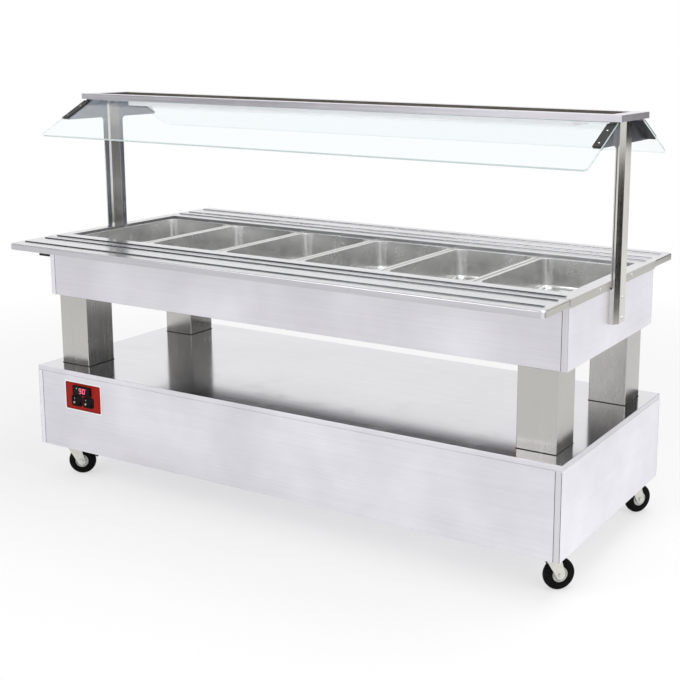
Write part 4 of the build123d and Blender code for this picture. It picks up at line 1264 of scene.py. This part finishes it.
@dataclass
class Fasteners:
    """Domed cross-recessed screws and hexagon bolts."""

    screw_radius: float = 5.5
    screw_height: float = 2.6
    screw_sides: int = 12
    screw_crease: float = math.radians(35)
    small_screw: float = 0.55
    dome: tuple[tuple[float, float], ...] = ((0.45, 1.0), (0.8, 0.9), (1.0, 0.68))
    recess_reach: float = 2.6
    recess_half_width: float = 0.65
    recess_depth: float = 1.3
    bolt_radius: float = 7.0
    bolt_height: float = 5.0
    washer_radius: float = 9.5
    washer_height: float = 1.0
    bolt_arris: float = 0.35
    slope: float = math.radians(27)
    slope_start: tuple[float, float] = (100.0, 1381.5)
    clamp_x: float = 1044.0
    clamp_lift: float = 9.6
    clamp_distances: tuple[float, float] = (58.4, 127.5)
    channel_screw_rise: float = 15.0
    channel_screw_pitch: float = 65.0
    lip_screw_y: float = 135.0
    lip_screw_z: float = 888.0
    plate_bolt_y: float = 20.0
    plate_bolt_drop: float = 11.0
    tab_bolt_inset: float = 31.0
    tab_bolt_y: float = 25.0
    tab_thickness: float = 3.0
    castor_plate_half: tuple[float, float] = (52.5, 40.0)
    castor_plate_thickness: float = 4.0
    castor_bolt_offsets: tuple[float, float] = (40.0, 28.0)

    def build(self) -> None:
        """Make every screw and bolt."""
        self.add_screws("clamp_screws", self.clamp_points(), self.small_screw, ("screws",))
        ends = [Vector((end, 0, 0)) for end in (-1, 1)]
        corners = [(axis, side) for axis in ends for side in (-1, 1)]
        channel_low, channel_high = box_mm("post_outer_channels")
        lowest = channel_low.z + self.channel_screw_rise
        channel = [
            (Vector((axis.x * channel_high.x, 0, height)), axis)
            for axis in ends
            for height in (lowest, lowest + self.channel_screw_pitch)
        ]
        lip_x = box_mm("counter_top")[1].x
        lip = [
            (Vector((axis.x * lip_x, side * self.lip_screw_y, self.lip_screw_z)), axis)
            for axis, side in corners
        ]
        self.add_screws("channel_screws", channel)
        self.add_screws("lip_screws", lip)
        roof_bottom = box_mm("roof")[0].z
        plate_z = roof_bottom - self.plate_bolt_drop
        plate = [
            (Vector((axis.x * lip_x, side * self.plate_bolt_y, plate_z)), -axis) for axis, side in corners
        ]
        down = Vector((0, 0, -1))
        tab_x = lip_x - self.tab_bolt_inset
        tab_z = roof_bottom - self.tab_thickness
        tab = [
            (Vector((axis.x * tab_x, side * self.tab_bolt_y, tab_z)), down) for axis, side in corners
        ]
        self.add_bolts("post_bolts", plate + tab)
        self.add_bolts("castor_bolts", self.castor_points())

    def clamp_points(self) -> list[tuple[Vector, Vector]]:
        """Head places and axes of the screws through the glass clamps."""
        points = []
        for side in (-1, 1):
            down = Vector((0, side * math.cos(self.slope), -math.sin(self.slope)))
            out = Vector((0, side * math.sin(self.slope), math.cos(self.slope)))
            start = Vector((0, side * self.slope_start[0], self.slope_start[1])) + out * self.clamp_lift
            for end in (-1, 1):
                for distance in self.clamp_distances:
                    points.append((start + down * distance + Vector((end * self.clamp_x, 0, 0)), out))
        return points

    def castor_points(self) -> list[tuple[Vector, Vector]]:
        """Head places and axes of the bolts through the castor plates."""
        outer = box_mm("castor_plates")[1]
        middle_x = outer.x - self.castor_plate_half[0]
        middle_y = outer.y - self.castor_plate_half[1]
        underside = outer.z - self.castor_plate_thickness
        down = Vector((0, 0, -1))
        points = []
        for side_x, side_y, along, across in product((-1, 1), repeat=4):
            x = side_x * middle_x + along * self.castor_bolt_offsets[0]
            y = side_y * middle_y + across * self.castor_bolt_offsets[1]
            points.append((Vector((x, y, underside)), down))
        return points

    def add_screws(
        self,
        name: str,
        points: list[tuple[Vector, Vector]],
        size: float = 1.0,
        replaced: tuple[str, ...] = (),
    ) -> None:
        """Make one piece of cross-recessed screws.

        Args:
            name: The piece's name.
            points: Seat and outward axis of each head.
            size: Size of the heads against the large ones.
            replaced: The nodes that the screws stand in for.
        """
        shape = bmesh.new()
        for seat, axis in points:
            head = bmesh.new()
            self.shape_screw(head)
            place = facing(seat * MM, axis) @ Matrix.Scale(size, 4)
            bmesh.ops.transform(head, matrix=place, verts=head.verts[:])
            self.join(shape, head)
        shade_by_angle(shape, self.screw_crease)
        add_piece(name, shape, [FINISH_BOOK.for_slot("screw")], "counter", replaced)

    def shape_screw(self, head: bmesh.types.BMesh) -> None:
        """Raise a dome from a disc and press the cross into its crown."""
        radius = self.screw_radius * MM
        disc = bmesh.ops.create_circle(head, cap_ends=True, segments=self.screw_sides, radius=radius)
        turn = Matrix.Rotation(math.pi / self.screw_sides, 4, "Z")
        bmesh.ops.transform(head, matrix=turn, verts=disc["verts"])
        top = head.faces[:][0]
        if top.normal.z < 0:
            top.normal_flip()
        base_height = 0.0
        for height, spread in self.dome:
            top = self.raise_face(head, top, (height - base_height) * self.screw_height * MM)
            base_height = height
            for vert in top.verts:
                vert.co.x, vert.co.y = Vector((vert.co.x, vert.co.y)).normalized() * radius * spread
        top = self.raise_face(head, top, 0.0)
        for vert in top.verts:
            vert.co.x, vert.co.y = self.cross_point(math.atan2(vert.co.y, vert.co.x))
        self.raise_face(head, top, -self.recess_depth * MM)

    def cross_point(self, angle: float) -> tuple[float, float]:
        """Corner of the cross that lies nearest to this direction."""
        quarter = round(angle / (math.pi / 2))
        offset = angle - quarter * math.pi / 2
        long_way = self.recess_reach if abs(offset) < math.radians(30) else self.recess_half_width
        local = Vector((long_way, math.copysign(self.recess_half_width, offset))) * MM
        local.rotate(Matrix.Rotation(quarter * math.pi / 2, 2))
        return local.x, local.y

    def raise_face(
        self, shape: bmesh.types.BMesh, face: bmesh.types.BMFace, height: float
    ) -> bmesh.types.BMFace:
        """Extrude a face along Z and return the moved face."""
        made = bmesh.ops.extrude_discrete_faces(shape, faces=[face])["faces"][0]
        for vert in made.verts:
            vert.co.z += height
        return made

    def join(self, shape: bmesh.types.BMesh, part: bmesh.types.BMesh) -> None:
        """Add a part's geometry to the shape and free the part."""
        mesh = bpy.data.meshes.new("part")
        part.to_mesh(mesh)
        part.free()
        shape.from_mesh(mesh)
        bpy.data.meshes.remove(mesh)

    def add_bolts(self, name: str, points: list[tuple[Vector, Vector]]) -> None:
        """Make one piece of hexagon bolts with washers.

        Args:
            name: The piece's name.
            points: Seat and outward axis of each head.
        """
        shape = bmesh.new()
        for seat, axis in points:
            for segments, radius, start, height in (
                (24, self.washer_radius, 0.0, self.washer_height),
                (6, self.bolt_radius, self.washer_height, self.bolt_height),
            ):
                middle = seat + axis * (start + height / 2)
                add_disc(shape, segments, radius, height, facing(middle * MM, axis))
        bevel_creases(shape, self.bolt_arris * MM)
        shade_by_angle(shape, CREASE_ANGLE)
        add_piece(name, shape, [FINISH_BOOK.for_slot("screw")], "counter")


@dataclass
class DisplayMarks:
    """Window of the thermostat with its lit digits and marks."""

    centre_x: float = -833.75
    window: tuple[float, float] = (61.6, 21.6)
    window_recess: float = 1.0
    sheet: float = 0.7
    digit_height: float = 19.0
    digit_width: float = 11.5
    stroke: float = 2.1
    digit_centres: tuple[float, float] = (-833.0, -816.5)
    digits: tuple[str, str] = ("abcdfg", "abcdef")
    raised: float = 0.2
    dot_segments: int = 16
    slant: float = math.radians(4)
    green_dot: tuple[float, float] = (-850.0, 367.6)
    green_radius: float = 1.9
    red_dot: tuple[float, float] = (-804.8, 368.6)
    red_radius: float = 1.3

    def build(self) -> None:
        """Make the window, the digits and the marks."""
        body = body_of_node("thermostat")
        shape = bmesh.new()
        middle = Vector((self.centre_x, self.window_back - self.sheet / 2, self.centre_z)) * MM
        size = Vector((self.window[0], self.sheet, self.window[1])) * MM
        add_box(shape, size, Matrix.Translation(middle))
        material = FINISH_BOOK.get("display_window", DISPLAY_WINDOW)
        add_piece("display_window", shape, [material], body)
        digits = bmesh.new()
        for centre, lit in zip(self.digit_centres, self.digits, strict=True):
            self.add_digit(digits, centre, lit)
        self.add_dot(digits, self.red_dot, self.red_radius)
        add_piece("display_digits", digits, [FINISH_BOOK.get("lit_digit", LIT_DIGIT)], body)
        dots = bmesh.new()
        self.add_dot(dots, self.green_dot, self.green_radius)
        add_piece("display_pilot_dot", dots, [FINISH_BOOK.get("lit_green", LIT_GREEN)], body)

    @property
    def centre_z(self) -> float:
        """Height of the window's middle in millimetres."""
        low, high = box_mm("thermostat")
        return (low.z + high.z) / 2

    @property
    def window_back(self) -> float:
        """Depth of the window's rear face in millimetres."""
        return box_mm("thermostat")[0].y + self.window_recess

    @property
    def front(self) -> float:
        """Depth of the window's front face in millimetres."""
        return self.window_back - self.sheet

    def add_digit(self, shape: bmesh.types.BMesh, centre: float, lit: str) -> None:
        """Add the lit bars of one seven-bar digit.

        Args:
            shape: Geometry to add to.
            centre: The digit's middle along X.
            lit: Letters of its lit bars.
        """
        half_width = (self.digit_width - self.stroke) / 2
        half_height = (self.digit_height - self.stroke) / 2
        bars = {
            "a": (0.0, half_height, True),
            "g": (0.0, 0.0, True),
            "d": (0.0, -half_height, True),
            "b": (half_width, half_height / 2, False),
            "c": (half_width, -half_height / 2, False),
            "f": (-half_width, half_height / 2, False),
            "e": (-half_width, -half_height / 2, False),
        }
        for letter in lit:
            across, up, level = bars[letter]
            length = 2 * half_width if level else half_height
            size = (length, self.stroke) if level else (self.stroke, length)
            x = centre + across + up * math.tan(self.slant)
            middle = Vector((x, self.front - self.raised / 2, self.centre_z + up)) * MM
            add_box(shape, Vector((size[0], self.raised, size[1])) * MM, Matrix.Translation(middle))

    def add_dot(self, shape: bmesh.types.BMesh, place: tuple[float, float], radius: float) -> None:
        """Add a round mark at this place on the window."""
        middle = Vector((place[0], self.front - self.raised / 2, place[1])) * MM
        add_disc(shape, self.dot_segments, radius, self.raised, facing(middle, Vector((0, -1, 0))))


@dataclass
class RockerMarks:
    """Printed on and off marks on the two rockers."""

    rockers: tuple[str, ...] = ("heat_rocker", "light_rocker")
    axis_y: float = -419.5
    tilt: float = math.radians(9)
    face_rise: float = 6.5
    face_slope: float = 2.5 / 16.5
    mark_x: float = -9.5
    bar: tuple[float, float] = (1.6, 5.0)
    bar_up: float = 7.0
    ring_up: float = -7.4
    ring_radius: float = 2.8
    ring_stroke: float = 1.7
    ring_steps: int = 24
    print_height: float = 0.12

    def build(self) -> None:
        """Print a bar and a ring on each rocker."""
        for node in self.rockers:
            low, high = box_mm(node)
            centre = (low.x + high.x) / 2
            shape = bmesh.new()
            bar_size = Vector((*self.bar, self.print_height)) * MM
            add_box(shape, bar_size, self.place(centre, self.bar_up))
            self.add_ring(shape, self.place(centre, self.ring_up))
            material = FINISH_BOOK.get("printed_white", PRINTED_WHITE)
            add_piece(f"{node}_marks", shape, [material], body_of_node(node))

    def place(self, centre: float, up: float) -> Matrix:
        """Frame on the rocker's face, with its Z outwards and its Y up the face.

        Args:
            centre: The rocker's middle along X.
            up: Distance up the face from its valley.

        Returns:
            The frame in metres.
        """
        low, high = box_mm("switch_bezels")
        axis = Vector((centre + self.mark_x, self.axis_y, (low.z + high.z) / 2))
        outward = Vector((0, -math.cos(self.tilt), math.sin(self.tilt)))
        upward = Vector((0, math.sin(self.tilt), math.cos(self.tilt)))
        lean = math.atan(self.face_slope) * (1 if up > 0 else -1)
        normal = outward * math.cos(lean) - upward * math.sin(lean)
        along = upward * math.cos(lean) + outward * math.sin(lean)
        height = self.face_rise + abs(up) * self.face_slope
        point = axis + outward * height + upward * up
        axes = Matrix((along.cross(normal), along, normal)).transposed().to_4x4()
        return Matrix.Translation(point * MM) @ axes

    def add_ring(self, shape: bmesh.types.BMesh, place: Matrix) -> None:
        """Spin the ring's small section about the place's own Z."""
        half = self.ring_stroke / 2 * MM
        top = self.print_height * MM
        bar = set(shape.verts)
        corners = [
            shape.verts.new((self.ring_radius * MM + x, 0, z))
            for x, z in ((-half, 0), (half, 0), (half, top), (-half, top))
        ]
        section = shape.faces.new(corners)
        bmesh.ops.spin(
            shape,
            geom=[section, *section.edges, *section.verts],
            cent=(0, 0, 0),
            axis=(0, 0, 1),
            angle=2 * math.pi,
            steps=self.ring_steps,
            use_merge=True,
        )
        ring = [vert for vert in shape.verts if vert not in bar]
        inside = [
            face for face in shape.faces if all(abs(vert.co.y) < SECTION_DEPTH for vert in face.verts)
        ]
        bmesh.ops.delete(shape, geom=inside, context="FACES_ONLY")
        bmesh.ops.transform(shape, matrix=place, verts=ring)
        bmesh.ops.recalc_face_normals(shape, faces=shape.faces[:])


def dress_nodes() -> None:
    """Give every node the material of its slot, and the well's floor dull galvanised sheet darkened to
    near black as painted shade.
    """
    for name, node in frame["nodes"].items():
        material = FINISH_BOOK.for_slot(NODE_SLOTS[name])
        if name == "well_floor":
            material = FINISH_BOOK.get("galvanised", SHADED_GALVANISED)
        node.data.materials.clear()
        node.data.materials.append(material)


def main() -> None:
    """Build every sub-assembly in order."""
    logging.basicConfig(level=logging.INFO, format="%(message)s")
    dress_nodes()
    SHEETS.build()
    Glazing().build()
    CornerSeamShade().build()
    ColumnShadeBeads().build()
    CastorWheels().build()
    Fasteners().build()
    DisplayMarks().build()
    RockerMarks().build()
    Studio().build()


if __name__ == "__main__":
    main()
